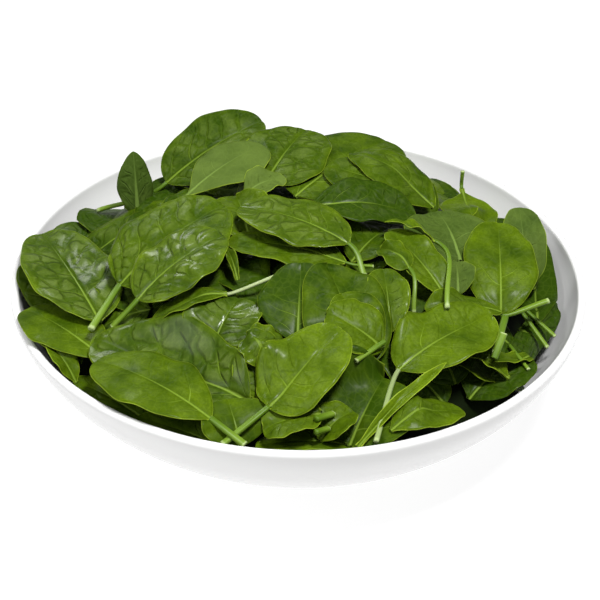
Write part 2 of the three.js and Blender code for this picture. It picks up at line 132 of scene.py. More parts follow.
def bowl_profile():
    """The closed outline of the wall, from the middle of the underside to the inside's middle."""
    inner_foot = FOOT_RADIUS - FOOT_WIDTH
    points = [(0, FOOT_RECESS), (inner_foot - 1, FOOT_RECESS)]
    points += [(inner_foot, FOOT_RECESS - FOOT_CORNER)]
    points += [(inner_foot + 0.1, FOOT_CORNER), (inner_foot + FOOT_EDGE, 0)]
    points += [(FOOT_RADIUS - FOOT_EDGE, 0), (FOOT_RADIUS, FOOT_EDGE / 2)]
    points += [tuple(outer_wall(LIP_SHARE * i / WALL_STEPS)) for i in range(1, WALL_STEPS + 1)]
    outside, inside = outer_wall(LIP_SHARE), inner_wall(LIP_SHARE)
    middle = (outside + inside) / 2
    radius = np.linalg.norm(outside - middle)
    start = math.atan2(outside[1] - middle[1], outside[0] - middle[0])
    for i in range(1, LIP_STEPS):
        angle = start + math.pi * i / LIP_STEPS
        points.append((middle[0] + radius * math.cos(angle), middle[1] + radius * math.sin(angle)))
    inwards = range(WALL_STEPS, WALL_START, -1)
    points += [tuple(inner_wall(LIP_SHARE * i / WALL_STEPS)) for i in inwards]
    last = points[-1]
    points += [(last[0] * 0.8, FLOOR_HEIGHT + (last[1] - FLOOR_HEIGHT) * 0.2), (0, FLOOR_HEIGHT)]
    return points


print("the outline has", len(bowl_profile()), "points")

# %% [markdown]
# A Screw modifier could turn the outline, but its points on the axis would have to be merged.
# Here the points are set ring by ring in 180 steps, fine enough that no facet shows, and both
# ends are closed with triangles, so the bowl is one closed solid.

# %% Turn an outline into a mesh
AROUND = 180


def scaled(points):
    """Points in millimetres as Blender's metres."""
    return [tuple(MM * float(value) for value in point) for point in points]


def turned_mesh(name, profile, around):
    """A closed mesh from a profile that starts and ends on the axis."""
    points = [(0, 0, profile[0][1])]
    for radius, height in profile[1:-1]:
        for k in range(around):
            angle = 2 * math.pi * k / around
            points.append((radius * math.cos(angle), radius * math.sin(angle), height))
    points.append((0, 0, profile[-1][1]))
    rings = len(profile) - 2
    faces = []
    for k in range(around):
        after = (k + 1) % around
        faces.append((0, 1 + after, 1 + k))
        for i in range(rings - 1):
            a, b = 1 + i * around, 1 + (i + 1) * around
            faces.append((a + k, a + after, b + after, b + k))
        end = 1 + (rings - 1) * around
        faces.append((len(points) - 1, end + k, end + after))
    mesh = bpy.data.meshes.new(name)
    mesh.from_pydata(scaled(points), [], faces)
    mesh.shade_smooth()
    return mesh


bowl_mesh = turned_mesh("bowl", bowl_profile(), AROUND)
print("bowl:", len(bowl_mesh.polygons), "faces")

# %% [markdown]
# ## Porcelain
# Glazed porcelain is nearly white and mirrors a little. A clear coat over a rough white body
# would copy how it is made. The glaze is so thin and even that a plain shader with a low
# roughness looks the same, and it is easier to use again, so that was chosen.

# %% Make the porcelain
PORCELAIN_WHITE = (0.80, 0.80, 0.795, 1)
GLAZE_ROUGHNESS = 0.16
GLAZE_IOR = 1.45


def new_material(name):
    """A new node material and its shader."""
    material = bpy.data.materials.new(name)
    material.use_nodes = True
    shader = material.node_tree.nodes["Principled BSDF"]
    return material, shader


porcelain, glaze = new_material("porcelain")
glaze.inputs["Base Color"].default_value = PORCELAIN_WHITE
glaze.inputs["Roughness"].default_value = GLAZE_ROUGHNESS
glaze.inputs["IOR"].default_value = GLAZE_IOR
print("made the material", porcelain.name)

# %% [markdown]
# Each mesh becomes an object of the scene, takes its material and rides on a body, and the
# node of the frame that it replaces is hidden. Nothing moves here, so every piece rides on the
# root.

# %% Put the bowl in the scene
def add_piece(name, mesh, material, node):
    """Puts a mesh in the scene on the root, with its material, in place of one of the frame's
    nodes, which is hidden.
    """
    piece = bpy.data.objects.new(name, mesh)
    bpy.context.scene.collection.objects.link(piece)
    mesh.materials.append(material)
    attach(piece, "root")
    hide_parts(node)
    return piece


bowl = add_piece("porcelain_bowl", bowl_mesh, porcelain, "bowl")
print("the bowl measures", [round(value / MM, 1) for value in bowl.dimensions], "mm")

# %% [markdown]
# ## The shape of the heap
# Leaves that are dropped into a bowl pile up to a mound. A physics simulation could drop them
# here too, but it would not bring each leaf to the place where the photograph shows it. So the
# mound is a formula: an oval that reaches further to the front than to the back, nearly flat on
# top and steep at its edge. Every leaf is then placed by where its ends lie on the mound and by
# how high they are over it.

# %% Shape the mound
HEAP_RADIUS = 117
HEAP_CENTRE_Y = 15
HEAP_REACH_FRONT = 131
HEAP_REACH_BACK = 102
HEAP_TOP = 88
HEAP_EDGE = 46
HEAP_POWER = 2.3  # a higher power makes a flatter top
HEAP_LIMIT = 1.15  # beyond this share of its reach the mound doesn't fall any more


def heap_top(x, y):
    """Height of the mound's smooth top."""
    x, y = np.asarray(x, float), np.asarray(y, float)
    reach = np.where(y < HEAP_CENTRE_Y, HEAP_REACH_FRONT, HEAP_REACH_BACK)
    share = np.minimum(np.hypot(x / HEAP_RADIUS, (y - HEAP_CENTRE_Y) / reach), HEAP_LIMIT)
    edge = HEAP_EDGE - y / HEAP_RADIUS
    return edge + (HEAP_TOP - edge) * (1 - share ** HEAP_POWER)


def on_heap(place):
    """The point of space for (x, y, height over the mound)."""
    x, y, lift = place
    return np.array([x, y, float(heap_top(x, y)) + lift])


print("the mound is", heap_top(0, HEAP_CENTRE_Y), "mm high in the middle and",
      heap_top(0, -116).round(), "mm at the front")

# %% [markdown]
# ## What lies in the bowl so far
# In the real bowl each leaf rests on those below it. Rays shot at the other meshes could find
# out where, but slowly. A map with one cell for each millimetre that holds the height of what
# lies in the bowl is simpler and fast. It starts as the bowl's inside and the core. Each leaf is
# lifted where it would sink into the map, and is then pressed into it, so the next one lies on
# top.

# %% Start the height map
HALF = 140  # the map reaches so far to each side of the axis
MAP_GAP = 0.4  # what lies in the bowl keeps this distance from its wall
FLAT_RADIUS = 50  # the floor is flat up to here
LIP_INSIDE = 126.5  # and the lip begins here
CORE_RADIUS = 111
CORE_DROP = 7  # the core lies so far below the mound's top
cells = np.arange(-HALF, HALF + 1)
cell_x, cell_y = np.meshgrid(cells, cells, indexing="ij")


def bowl_inside(distance):
    """Height of the bowl's inside, by distance from its axis."""
    wall = np.array([inner_wall(share) for share in np.linspace(0.2, LIP_SHARE, 30)])
    radii = np.concatenate([[0, FLAT_RADIUS], wall[:, 0]])
    heights = np.concatenate([[FLOOR_HEIGHT, FLOOR_HEIGHT], wall[:, 1]])
    inside = np.interp(distance, radii, heights)
    lip = np.where(distance > LIP_INSIDE, RIM_HEIGHT + MAP_GAP, inside)
    return np.where(distance > RIM_RADIUS + 1, 0, lip)


def empty_map():
    """The height map with nothing in the bowl but the core."""
    distance = np.hypot(cell_x, cell_y)
    core = np.where(distance < CORE_RADIUS, heap_top(cell_x, cell_y) - CORE_DROP, 0)
    return np.maximum(bowl_inside(distance) + MAP_GAP, core)


def read_map(heights, x, y):
    """Height of the map at any place, between the cells too."""
    i = np.clip(x + HALF, 0, len(cells) - 1.001)
    j = np.clip(y + HALF, 0, len(cells) - 1.001)
    a, b = i.astype(int), j.astype(int)
    s, t = i - a, j - b
    near = heights[a, b] * (1 - t) + heights[a, b + 1] * t
    far = heights[a + 1, b] * (1 - t) + heights[a + 1, b + 1] * t
    return near * (1 - s) + far * s


print("the map has", cell_x.size, "cells")

# %% [markdown]
# ## One leaf
# A young spinach leaf is an oval blade on a juicy stem, and no two are alike. One leaf could be
# modelled with care and copied, but the copies would show. So every leaf is worked out from its
# own few numbers, and this cell gives the plain values that a leaf has unless it says otherwise.
# The angles are degrees. crease is the slope of each half beside the midrib and cup how much it
# changes outwards, arch lifts the midrib, roll turns the blade about it, and a free leaf isn't
# laid down on what lies below. quilt is how far the fields bulge, wave how far the margin
# waves, tone goes from dark (-1) to light (+1), gloss is wax, and under shows the grey
# underside. stem is the place of its cut end, thick its radius, pale makes it whitish, and an
# arched stem leaves the blade in line with the midrib before it bends.

# %% Describe a leaf
FORMS = {  # shift of the widest place, fullness towards the stem, fullness towards the tip
    "oval": (0.90, 0.75, 0.42),
    "round": (0.85, 0.58, 0.38),
    "long": (0.95, 0.90, 0.60),
    "spoon": (1.25, 1.10, 0.40),
    "heart": (0.62, 0.50, 0.55),
    "wedge": (1.30, 1.60, 0.45),
}
NECK = 1.1  # the least half width where the blade meets the stem
POINT = 0.05  # and the least at the tip


def leaf(name, base, tip, wide, **options):
    """One leaf as a dictionary; base and tip are places on the heap."""
    plain = dict(arch=3, roll=0, crease=4, cup=6, form="oval", free=False)
    looks = dict(quilt=0.5, wave=0.8, tone=0.0, gloss=0.05, under=False)
    stalk = dict(stem=None, thick=1.35, pale=0.0, arched=True)
    place = dict(name=name, base=base, tip=tip, wide=wide)
    return {**plain, **looks, **stalk, **place, **options}


def half_width(one, share):
    """Half the blade's width at a share of its length."""
    shift, towards_stem, towards_tip = FORMS[one["form"]]
    place = share ** shift
    fullness = np.where(place < 0.5, towards_stem, towards_tip)
    half = one["wide"] / 2 * np.clip(np.sin(np.pi * place), 0, 1) ** fullness
    return np.maximum(half, np.where(share < 0.5, NECK, POINT))


print("half width of a 40 mm oval half way along:", half_width(leaf("", 0, 0, 40), 0.5).round(1))

# %% [markdown]
# The blade of a spinach leaf is tighter along its veins than between them, so the fields bulge
# like a quilt. A displacement modifier with a noise could raise them, but the bulges have to
# stop at the veins. So the side veins are counted from the base, and each field rises between
# two of them and between two of the small veins that join these. Each field takes its own
# height, because real ones are uneven.

# %% Let the fields bulge
SIDE_VEINS = 5.4  # on each half of a blade
VEIN_BEND = 0.34  # how much the side veins bend towards the tip
QUILT_HEIGHT = 2.4
QUILTED_WIDE = 42  # a narrower leaf has lower fields
CROSS_VEINS = 8.5  # millimetres between the veins that join two side veins


def vein_count(one, share, side, phase):
    """Counts the side veins from the base; whole numbers lie on a vein.

    Waves make the distances between them uneven, and the two halves differ.
    """
    bend = VEIN_BEND * np.abs(side) ** 1.3 * (1 - 0.5 * share)
    uneven = 0.22 * np.sin(2 * np.pi * 1.3 * share + phase[0] + 2 * np.sign(side))
    uneven = uneven + 0.12 * np.sin(5 * np.abs(side) + 9 * share + phase[3])
    return (share - bend) * SIDE_VEINS + uneven + 0.3 * np.sign(side) + 0.4


def quilting(one, share, side, length, phase):
    """How far the fields between the side veins bulge; each has a chance of its own."""
    count = vein_count(one, share, side, phase)
    field = np.floor(count) + 7 * np.sign(side)
    chance = np.sin(field * 12.9 + phase[1] * 7) * 0.5 + 0.5
    dome = np.abs(np.sin(np.pi * count)) ** 0.6
    cross = np.abs(np.sin(np.pi * (length / CROSS_VEINS + chance + 0.15 * np.sin(3 * count))))
    out = np.clip(length / (one["wide"] / 2), 0, 1)
    reach = np.sin(np.pi * np.clip(out ** 0.75, 0, 1)) ** 0.8 * (1 - 0.45 * share)
    uneven = (0.35 + 0.65 * chance) * (0.35 + 0.65 * cross ** 0.6)
    size = min(one["wide"] / QUILTED_WIDE, 1)
    height = QUILT_HEIGHT * size * one["quilt"] * uneven * dome * reach
    return -height if one["under"] else height


print("a quilted leaf's fields rise up to", QUILT_HEIGHT, "mm")

# %% [markdown]
# The blade is worked out in steps that one can follow on a real leaf. The midrib is a bowed line
# from the stem to the tip. From it each half runs outwards in narrow strips, and each strip has
# a slope of its own, so the half bends without growing wider. Last the margin waves and the
# fields bulge. A grid of points like this could also be bent with modifiers, but each leaf would
# need its own set of them.

# %% Bend a blade
STRIPS = 12
OUTLINE_WAVES = (1.2, 3.1)  # waves along the blade that make its outline uneven
OUTLINE_CHANGE = (0.045, 0.012)
MARGIN_WAVES = (2.1, 3.7)  # waves along the blade that lift and lower its margin


def unit(vector):
    """The same direction with length one, for a vector or for rows of vectors."""
    return vector / np.linalg.norm(vector, axis=-1, keepdims=True)


def blade(one, rows, side, seed):
    """The blade's middle surface as a grid of points, the shares along it and its phases."""
    share = (1 - np.cos(np.linspace(0, np.pi, rows))) / 2
    side = side[None, :]
    base, tip = on_heap(one["base"]), on_heap(one["tip"])
    chord = unit(tip - base)
    across = unit(np.cross([0, 0, 1], chord))
    over = np.cross(chord, across)
    bow = (base + tip) / 2 + 2 * one["arch"] * over
    u = share[:, None]
    spine = (1 - u) ** 2 * base + 2 * u * (1 - u) * bow + u * u * tip
    along = unit(2 * (1 - u) * (bow - base) + 2 * u * (tip - bow))
    flat_left = unit(np.cross(over, along))
    flat_up = np.cross(along, flat_left)
    roll = math.radians(one["roll"])
    left = flat_left * math.cos(roll) + flat_up * math.sin(roll)
    face = flat_up * math.cos(roll) - flat_left * math.sin(roll)

    phase = np.random.default_rng(seed).uniform(0, 2 * np.pi, 4)
    sign = np.sign(side)
    first, second = [2 * np.pi * waves * u for waves in OUTLINE_WAVES]
    uneven = 1 + OUTLINE_CHANGE[0] * np.sin(first + phase[1] + 2 * sign)
    uneven = uneven + OUTLINE_CHANGE[1] * np.sin(second + phase[2] + sign)
    length = np.abs(side) * half_width(one, share)[:, None] * uneven
    full = one["wide"] / 2
    out, rise = np.zeros_like(length), np.zeros_like(length)
    for step in range(STRIPS):
        gone = length * (step + 0.5) / STRIPS
        slope = math.radians(one["crease"]) + math.radians(one["cup"]) * 2 * gone / full
        out += np.cos(slope) * length / STRIPS
        rise += np.sin(slope) * length / STRIPS

    edge = (length / full) ** 2
    first, second = [2 * np.pi * waves * u for waves in MARGIN_WAVES]
    slow = np.sin(first + phase[0] + sign * phase[1])
    fast = np.sin(second + phase[2] + sign * phase[3])
    rise += one["wave"] * edge * (slow + 0.5 * fast)
    rise += quilting(one, u, side, length, phase)
    grid = spine[:, None, :] + left[:, None, :] * (out * sign)[..., None]
    return grid + face[:, None, :] * rise[..., None], share, phase


sample = blade(leaf("", (0, 0, 0), (30, 0, 0), 20), 5, np.linspace(-1, 1, 5), 0)[0]
print("a small blade of 5 by 5 points reaches from x", sample[..., 0].min().round(1), "to",
      sample[..., 0].max().round(1))

# %% [markdown]
# ## Laying a leaf down
# A limp leaf bends over what is under it. A cloth simulation could do that, but it would take
# minutes and move the leaf away from its place. Instead, on a coarse grid, the lift that each
# place needs is spread over its neighbours again and again, without ever falling below the
# need. That gives a soft cover and no dents. The fine grid of the finished blade then takes its
# lift from there.

# %% Lay a blade down
COARSE_ROWS = 40
COARSE_SIDE = np.linspace(-1, 1, 25)
REST_GAP = 0.7  # from the middle of a blade to what is below
SPREAD_TIMES = 30
SMOOTH_TIMES = 4
PRESSED_THICKNESS = 0.5


def mean_of_neighbours(lifts):
    """Each place takes the mean of its four neighbours; the border repeats itself."""
    wide = np.pad(lifts, 1, mode="edge")
    return (wide[:-2, 1:-1] + wide[2:, 1:-1] + wide[1:-1, :-2] + wide[1:-1, 2:]) / 4


def lifts_needed(heights, grid):
    """How far each place of a grid has to rise to lie on the map, spread out softly."""
    need = read_map(heights, grid[..., 0], grid[..., 1]) + REST_GAP - grid[..., 2]
    lifts = np.maximum(need, 0)
    for _ in range(SPREAD_TIMES):
        lifts = np.maximum(np.maximum(mean_of_neighbours(lifts), need), 0)
    for _ in range(SMOOTH_TIMES):
        lifts = mean_of_neighbours(lifts)
    return lifts


def between(values, rows, columns):
    """A grid's values at places between its rows and columns, given as shares from 0 to 1."""
    i = np.clip(rows, 0, 1) * (values.shape[0] - 1.001)
    j = np.clip(columns, 0, 1) * (values.shape[1] - 1.001)
    a, b = i.astype(int)[:, None], j.astype(int)[None, :]
    s, t = (i - i.astype(int))[:, None], (j - j.astype(int))[None, :]
    if values.ndim == 3:
        s, t = s[..., None], t[..., None]
    near = values[a, b] * (1 - t) + values[a, b + 1] * t
    far = values[a + 1, b] * (1 - t) + values[a + 1, b + 1] * t
    return near * (1 - s) + far * s


def press(heights, grid):
    """Marks a blade in the map."""
    rows, columns = [np.linspace(0, 1, size * 3) for size in grid.shape[:2]]
    fine = between(grid, rows, columns)
    fine = fine.reshape(-1, 3)
    i = np.clip(np.round(fine[:, 0] + HALF).astype(int), 0, len(cells) - 1)
    j = np.clip(np.round(fine[:, 1] + HALF).astype(int), 0, len(cells) - 1)
    np.maximum.at(heights, (i, j), fine[:, 2] + PRESSED_THICKNESS)


print("a blade is laid down on", COARSE_ROWS, "by", len(COARSE_SIDE), "places")

# %% [markdown]
# The stem is stiffer than the blade. It leaves the blade in line with the midrib, bends towards
# its cut end and arches over what lies in its way. A smooth curve with two ends and two handles
# gives such a line. It is worked out here rather than drawn as a Blender curve, because its
# height has to be compared with the map.

# %% Lead the stem
STEM_STEPS = 14
STEM_STIFF = 0.4  # share of the length on which an arched stem keeps the midrib's direction
STEM_LIMP = 0.12  # and the same for a stem that isn't arched
STEM_END = 0.3  # the handle at the cut end
STEM_GAP = 1.2  # how far the middle of a stem keeps from what is below


def stem_line(one, grid, heights):
    """The middle line of a leaf's stem, from the blade to the cut end."""
    middle = grid[:, grid.shape[1] // 2]
    start, along = middle[0], unit(middle[2] - middle[0])
    end = on_heap(one["stem"])
    length = np.linalg.norm(end - start)
    keep = STEM_STIFF if one["arched"] else STEM_LIMP
    first, second = start - along * length * keep, end + (start - end) * STEM_END
    w = np.linspace(0, 1, STEM_STEPS)[:, None]
    line = (1 - w) ** 3 * start + 3 * w * (1 - w) ** 2 * first
    line = line + 3 * w * w * (1 - w) * second + w ** 3 * end
    if one["arched"] and not one["free"]:
        below = read_map(heights, line[:, 0], line[:, 1])
        need = np.maximum(below + STEM_GAP - line[:, 2], 0)
        tilt = need[-1] * w[:, 0]
        arch = np.sin(np.pi * w[3:-1, 0])
        line[:, 2] += tilt + np.sin(np.pi * w[:, 0]) * np.max((need - tilt)[3:-1] / arch, initial=0)
    return line


print("a stem's line has", STEM_STEPS, "points")

# %% [markdown]
# ## Where each leaf lies
# The leaves are listed from the lowest to the topmost, as if dropped into the bowl in this
# order. They could be scattered at random, but then the heap would be another one. So each has
# the place of its base and of its tip on the mound, its width and what sets it apart. The first
# lie low on the wall and deep between the others.

# %% List the low leaves
# the tones of these low leaves are partly their own and partly painted shade: most are darker, down
# to -1.2 on the right and by the wall, for the shade deep in the heap
LEAVES = [
    leaf("wall leaf", (-83, 18, -19), (-116, 34, 12), 26, form="round", cup=-6, quilt=0.6,
         tone=-1.2),
    leaf("left behind", (-103, -28, -2), (-120, 7, 13), 30, form="round", cup=-4, tone=-0.5),
    leaf("right dark", (98, -33, -3), (107, -38, -2), 46, form="round", cup=4, tone=-1.2),
    # painted shade: a near-black smooth leaf (tone -1.7, no gloss) laid on the bowl's right wall,
    # where only the heap's shadow lies
    leaf("shade leaf on right wall", (106, -30, -12), (112, 40, 8), 20, cup=-4, quilt=0.1, tone=-1.7, gloss=0),
    leaf("right low", (73, -77, -6), (97, -53, 4), 34, tone=-1.2),
    leaf("right lower", (67, -73, -6), (56, -57, -6), 30, tone=-1.2),
    leaf("back middle left", (-10, 60, -2), (-52, 84, 2), 42, form="round"),
    leaf("back middle right", (22, 62, -3), (54, 82, -4), 40),
    leaf("back right low", (62, 14, -5), (64, 44, -9), 38),
    leaf("middle left low", (-42, -4, -4), (-24, -59, -3), 40, tone=-0.6),
    leaf("middle right low", (29, -13, -6), (52, -60, -4), 40, tone=-0.6),
    leaf("middle front low", (1, -41, -6), (14, -72, -4), 40, form="round", tone=-0.6),
    leaf("left low inner", (-64, -44, -3), (-94, -48, -2), 40, form="round", tone=-0.5),
    leaf("front low left", (-58, -101, 2), (-97, -70, 6), 18, tone=-0.4),
    leaf("front low middle", (-24, -117, 2), (-65, -99, 6), 18, tone=-0.4),
    leaf("front low right", (24, -113, 2), (-16, -115, 3), 16, tone=-0.4),
    leaf("front gap", (-12, -97, -1), (-16, -74, 0), 26, tone=-0.4),
    leaf("middle nook", (23, -26, -3), (41, 1, -2), 26, tone=-0.4),
    leaf("right nook", (53, -16, -4), (44, -1, -1), 22, tone=-0.4),
    leaf("back nook", (-58, -5, -2), (-39, 23, -1), 30, tone=-0.4),
]
print(len(LEAVES), "leaves so far")

# %% [markdown]
# On the left a big round leaf leans on the bowl's rim, with smaller ones under it.

# %% List the leaves on the left
LEAVES += [
    leaf("left lowest", (-92, -64, 4), (-119, -42, 23), 20, crease=6, roll=8, tone=0.2),
    leaf("left folded", (-93, -75, 8), (-106, -62, 22), 12, form="long", crease=16),
    leaf("left low", (-83, -68, 7), (-119, -35, 21), 30, cup=-4, quilt=0.15, tone=0.0),
    leaf("glossy left", (-35, -74, 1), (-25, -53, 2), 34, form="round", cup=8, quilt=0.6,
         gloss=0.45, tone=-0.3),
    leaf("curl", (-7, -80, 2), (-20, -76, 8), 14, crease=8, tone=-0.3),
    leaf("small dark", (-14, -86, 4), (-21, -77, 5), 16, form="round", tone=-0.5, gloss=0.3),
    leaf("blade low", (-30, -53, 4), (-62, -57, 3), 14, form="long", crease=10, stem=(-9, -45, 5),
         thick=0.9, pale=0.7, arched=False),
    leaf("left round", (-85, -50, 7), (-119, 18, 20), 39, form="round", crease=6, cup=2,
         quilt=0.9, gloss=0.3, tone=0.2),
    leaf("thin edge", (-26, -43, 2), (-32, -25, 4), 5, form="long", crease=20),
]
print(len(LEAVES), "leaves so far")

# %% [markdown]
# The back has the highest leaves: a dark one with a long stem, one that shows its grey
# underside, and broad ones that lean backwards.

# %% List the leaves at the back
LEAVES += [
    leaf("back smooth", (-2, 12, 3), (40, 61, 16), 54, form="round", cup=-6, quilt=0.3, tone=-0.3),
    leaf("back quilted", (-17, 19, 3), (2, 63, 16), 44, form="round", cup=-4, quilt=0.75,
         tone=-0.3),
    leaf("back left big", (-63, 48, 2), (-19, 74, 20), 36, form="round", roll=14, crease=10,
         cup=-4, quilt=0.6, tone=-0.75, gloss=0.02, stem=(-97, 50, 3), thick=1.2),
    leaf("back underside", (-52, 13, 6), (-18, 45, 13), 32, form="spoon", cup=-6, quilt=0.2,
         under=True),
    leaf("yellow bit", (-25, 13, 2), (-7, 21, 6), 18, under=True, tone=0.8),
    leaf("dark bit", (-22, -17, 0), (-29, 15, 2), 26, form="round", tone=-0.4),
    leaf("back right inner", (45, 14, 3), (12, 30, 9), 34, cup=-6, tone=-0.3),
    leaf("back right outer", (61, 18, 4), (23, 41, 11), 30, cup=-6, tone=-0.4),
    leaf("centre back", (5, -1, 6), (52, 7, 4), 28, cup=-6, tone=-1.3),
    leaf("upright", (-76, 34, -9), (-78, 45, 26), 20, form="long", crease=-24, cup=-10, free=True,
         under=True, tone=-1.0),
]
print(len(LEAVES), "leaves so far")

# %% [markdown]
# In the centre glossy quilted leaves lie over each other, with thick stems that cross.

# %% List the leaves in the centre
LEAVES += [
    leaf("centre middle", (20, -36, 5), (-31, -21, 4), 26, crease=-6, stem=(32, -35, 4), tone=0.1,
         thick=0.8),
    leaf("broad upper", (-77, -36, 8), (-34, -1, 8), 50, form="round", arch=4, cup=-6, quilt=0.7,
         tone=-0.2, gloss=0.06, stem=(-87, -62, 17), thick=1.6, arched=False),
    leaf("broad lower", (-68, -50, 10), (-33, -24, 9), 36, form="round", arch=4, cup=-4,
         quilt=0.8, gloss=0.4, stem=(-79, -55, 5), thick=1.4),
    leaf("centre top", (21, -28, 8), (-26, -4, 8), 34, form="round", arch=4, cup=-6, quilt=0.8,
         tone=0.5, gloss=0.25, stem=(28, -40, 3), thick=1.4),
]
print(len(LEAVES), "leaves so far")

# %% [markdown]
# On the right a light leaf leans on the rim, and grey undersides show beside it.

# %% List the leaves on the right
LEAVES += [
    leaf("stem up", (77, 55, 6), (79, 18, -7), 27, form="wedge", stem=(77, 57, 15), thick=1,
         tone=0.2, quilt=0.2),
    leaf("grey wide", (71, -15, 3), (62, 15, 4), 44, form="heart", cup=-6, under=True, tone=-0.3),
    leaf("right back", (103, -4, 0), (101, 26, 21), 22, form="round", under=True, tone=-0.2),
    leaf("right big", (88, -40, 6), (89, 7, 16), 32, form="round", arch=5, cup=-6, quilt=0.3,
         tone=0.0, stem=(109, -34, 22), thick=1.3, arched=False),
    leaf("right piece", (69, -37, 3), (69, -17, 3), 16, under=True),
    leaf("folded inner", (63, -44, 6), (39, -15, 7), 21, crease=8, tone=0.1),
    leaf("small with stem", (47, -39, 6), (35, -25, 4), 13, crease=10, stem=(49, -55, 4), thick=1),
    leaf("small bright", (39, -66, 3), (36, -39, 7), 19, crease=8, gloss=0.2),
]
print(len(LEAVES), "leaves so far")

# %% [markdown]
# Between the centre and the front lie smooth olive leaves and small curled ones.

# %% List the leaves before the centre
LEAVES += [
    leaf("olive left", (0, -75, 2), (1, -42, 6), 34, form="round", cup=-6, quilt=0.2, tone=-0.8),
    leaf("olive right", (27, -83, 2), (12, -41, 4), 38, form="round", cup=-6, quilt=0.3,
         tone=-0.3, gloss=0.03),
    leaf("olive inner", (31, -77, 4), (18, -57, 5), 24, form="round", cup=-6, quilt=0.3, tone=-0.2),
    leaf("pale middle", (35, -77, 5), (12, -68, 6), 25, form="round", cup=-6, quilt=0.4, tone=0.3,
         gloss=0.03),
    leaf("right band", (88, -43, 10), (54, -51, 3), 16, cup=-6, tone=-0.4),
    leaf("right curled", (89, -72, 7), (70, -66, 3), 13, form="long", crease=24),
    leaf("right tiny", (101, -56, -1), (83, -71, 12), 9, crease=16),
]
print(len(LEAVES), "leaves so far")

# %% [markdown]
# At the front light leaves lie on a large dark one, and their stems point to the rim.

# %% List the leaves at the front
LEAVES += [
    leaf("front quilted", (-19, -100, 3), (-86, -63, 9), 39, cup=-6, quilt=0.8, tone=-0.2,
         gloss=0.3),
    leaf("front dark", (22, -115, 5), (36, -86, 2), 46, form="round", quilt=0.2, tone=-0.9,
         gloss=0.02),
    leaf("front folded", (10, -115, 6), (23, -104, 6), 20, crease=14),
    leaf("front under", (-22, -118, 8), (-28, -101, 7), 30, quilt=0.1, tone=-0.3),
    leaf("front middle", (10, -108, 9), (-13, -114, 8), 24, form="round"),
    leaf("front left", (-34, -113, 17), (-83, -77, 16), 35, arch=4, cup=-4, quilt=0.3, tone=0.1,
         free=True, stem=(-20, -122, 15), thick=1.6),
    leaf("front centre", (-11, -107, 5), (18, -77, 12), 35, arch=4, cup=-4, quilt=0.45, tone=0.4,
         gloss=0.12, stem=(-29, -121, 15), thick=1.4, form="round"),
    leaf("right bottom", (38, -116, 17), (68, -96, 11), 18, cup=-4),
    leaf("right front", (42, -85, 7), (82, -51, 9), 34, arch=5, cup=-6, quilt=0.4, tone=0.3,
         gloss=0.1, stem=(32, -120, 17), thick=1.15, pale=0.45, form="round", arched=False),
    leaf("edge strip", (59, -17, 10), (37, -13, 10), 10, form="long", roll=20, crease=8, tone=0.3,
         stem=(63, -55, 10), thick=1.15),
    leaf("narrow edge", (25, -119, 11), (61, -86, 17), 7, form="long", crease=24, roll=16,
         tone=0.6),
]
print(len(LEAVES), "leaves so far")

# %% [markdown]
# A few stems lie about without a blade, and two cut ends stick out at the front.

# %% List the loose stems
LOOSE_STEMS = [  # stems without a blade: both ends, in the same way, and the radius
    ((82, -75, 18), (86, -68, 25), 1.5),
    ((101, -27, 4), (113, -38, 10), 0.9),
    ((98, -29, 4), (109, -45, 8), 0.95),
    ((91, -53, 5), (98, -68, 14), 0.8),
    ((36, -77, 10), (24, -88, 11), 1.1),
    ((8, -115, 17), (15, -108, 10), 1.4),
    ((8, -120, 18), (13, -114, 11), 1.3),
    ((89, -46, 11), (83, -69, 14), 1.6),
]
print(len(LEAVES), "leaves and", len(LOOSE_STEMS), "stems by hand")

# %% [markdown]
# The slope at the back, which the photograph doesn't show, is covered by three rings of leaves,
# and the gaps between the visible leaves get some more leaves deep inside. Nobody can say where
# the real ones lie, so a random order places them. Its seed is fixed, so they come out the same
# each time.

# %% Scatter leaves on the back slope
BACK_RINGS = [  # distance from the axis, leaves, first and last angle, how far they turn
    (96, 6, 42, 136, 70),
    (76, 5, 42, 136, 70),
    (105, 5, 62, 122, 25),
]
BACK_SEED = 7
BACK_JITTER = 6  # degrees
BACK_HALF_LENGTHS = (18, 24)
BACK_WIDTHS = (26, 34)
BACK_LEVELS = (-6, -5)  # of the base and of the tip
MULTIPLIER = 16807
LARGEST = 2147483647


def random_from(seed):
    """Numbers from 0 to 1 in an order that is the same each time."""
    state = seed
    while True:
        state = (state * MULTIPLIER) % LARGEST
        yield state / LARGEST


def back_leaves():
    """Leaves on the back slope, lying along or across it."""
    numbers = random_from(BACK_SEED)

    def draw(low, high):
        return math.floor(low + (high - low) * next(numbers) + 0.5)

    found = []
    for radius, count, first, last, swing in BACK_RINGS:
        for k in range(count):
            degrees = first + (last - first) * (k + 0.5) / count
            degrees += draw(-BACK_JITTER, BACK_JITTER)
            place = math.radians(degrees)
            turn = place + math.pi / 2 + math.radians(draw(-swing, swing))
            half = draw(*BACK_HALF_LENGTHS)
            x, y = radius * math.cos(place), radius * math.sin(place)
            dx, dy = half * math.cos(turn), half * math.sin(turn)
            base = (round(x - dx), round(y - dy), BACK_LEVELS[0])
            tip = (round(x + dx), round(y + dy), BACK_LEVELS[1])
            found.append(leaf("back slope", base, tip, draw(*BACK_WIDTHS),
                              form="round" if k % 2 else "oval", cup=-4, quilt=0.6))
    return found


print(len(back_leaves()), "leaves at the back")

# %% [markdown]
# The deep leaves are spread over the whole mound by turning a little more than a third of a
# circle from one to the next while moving outwards, as the seeds of a sunflower do. That leaves
# no holes and makes no rows.

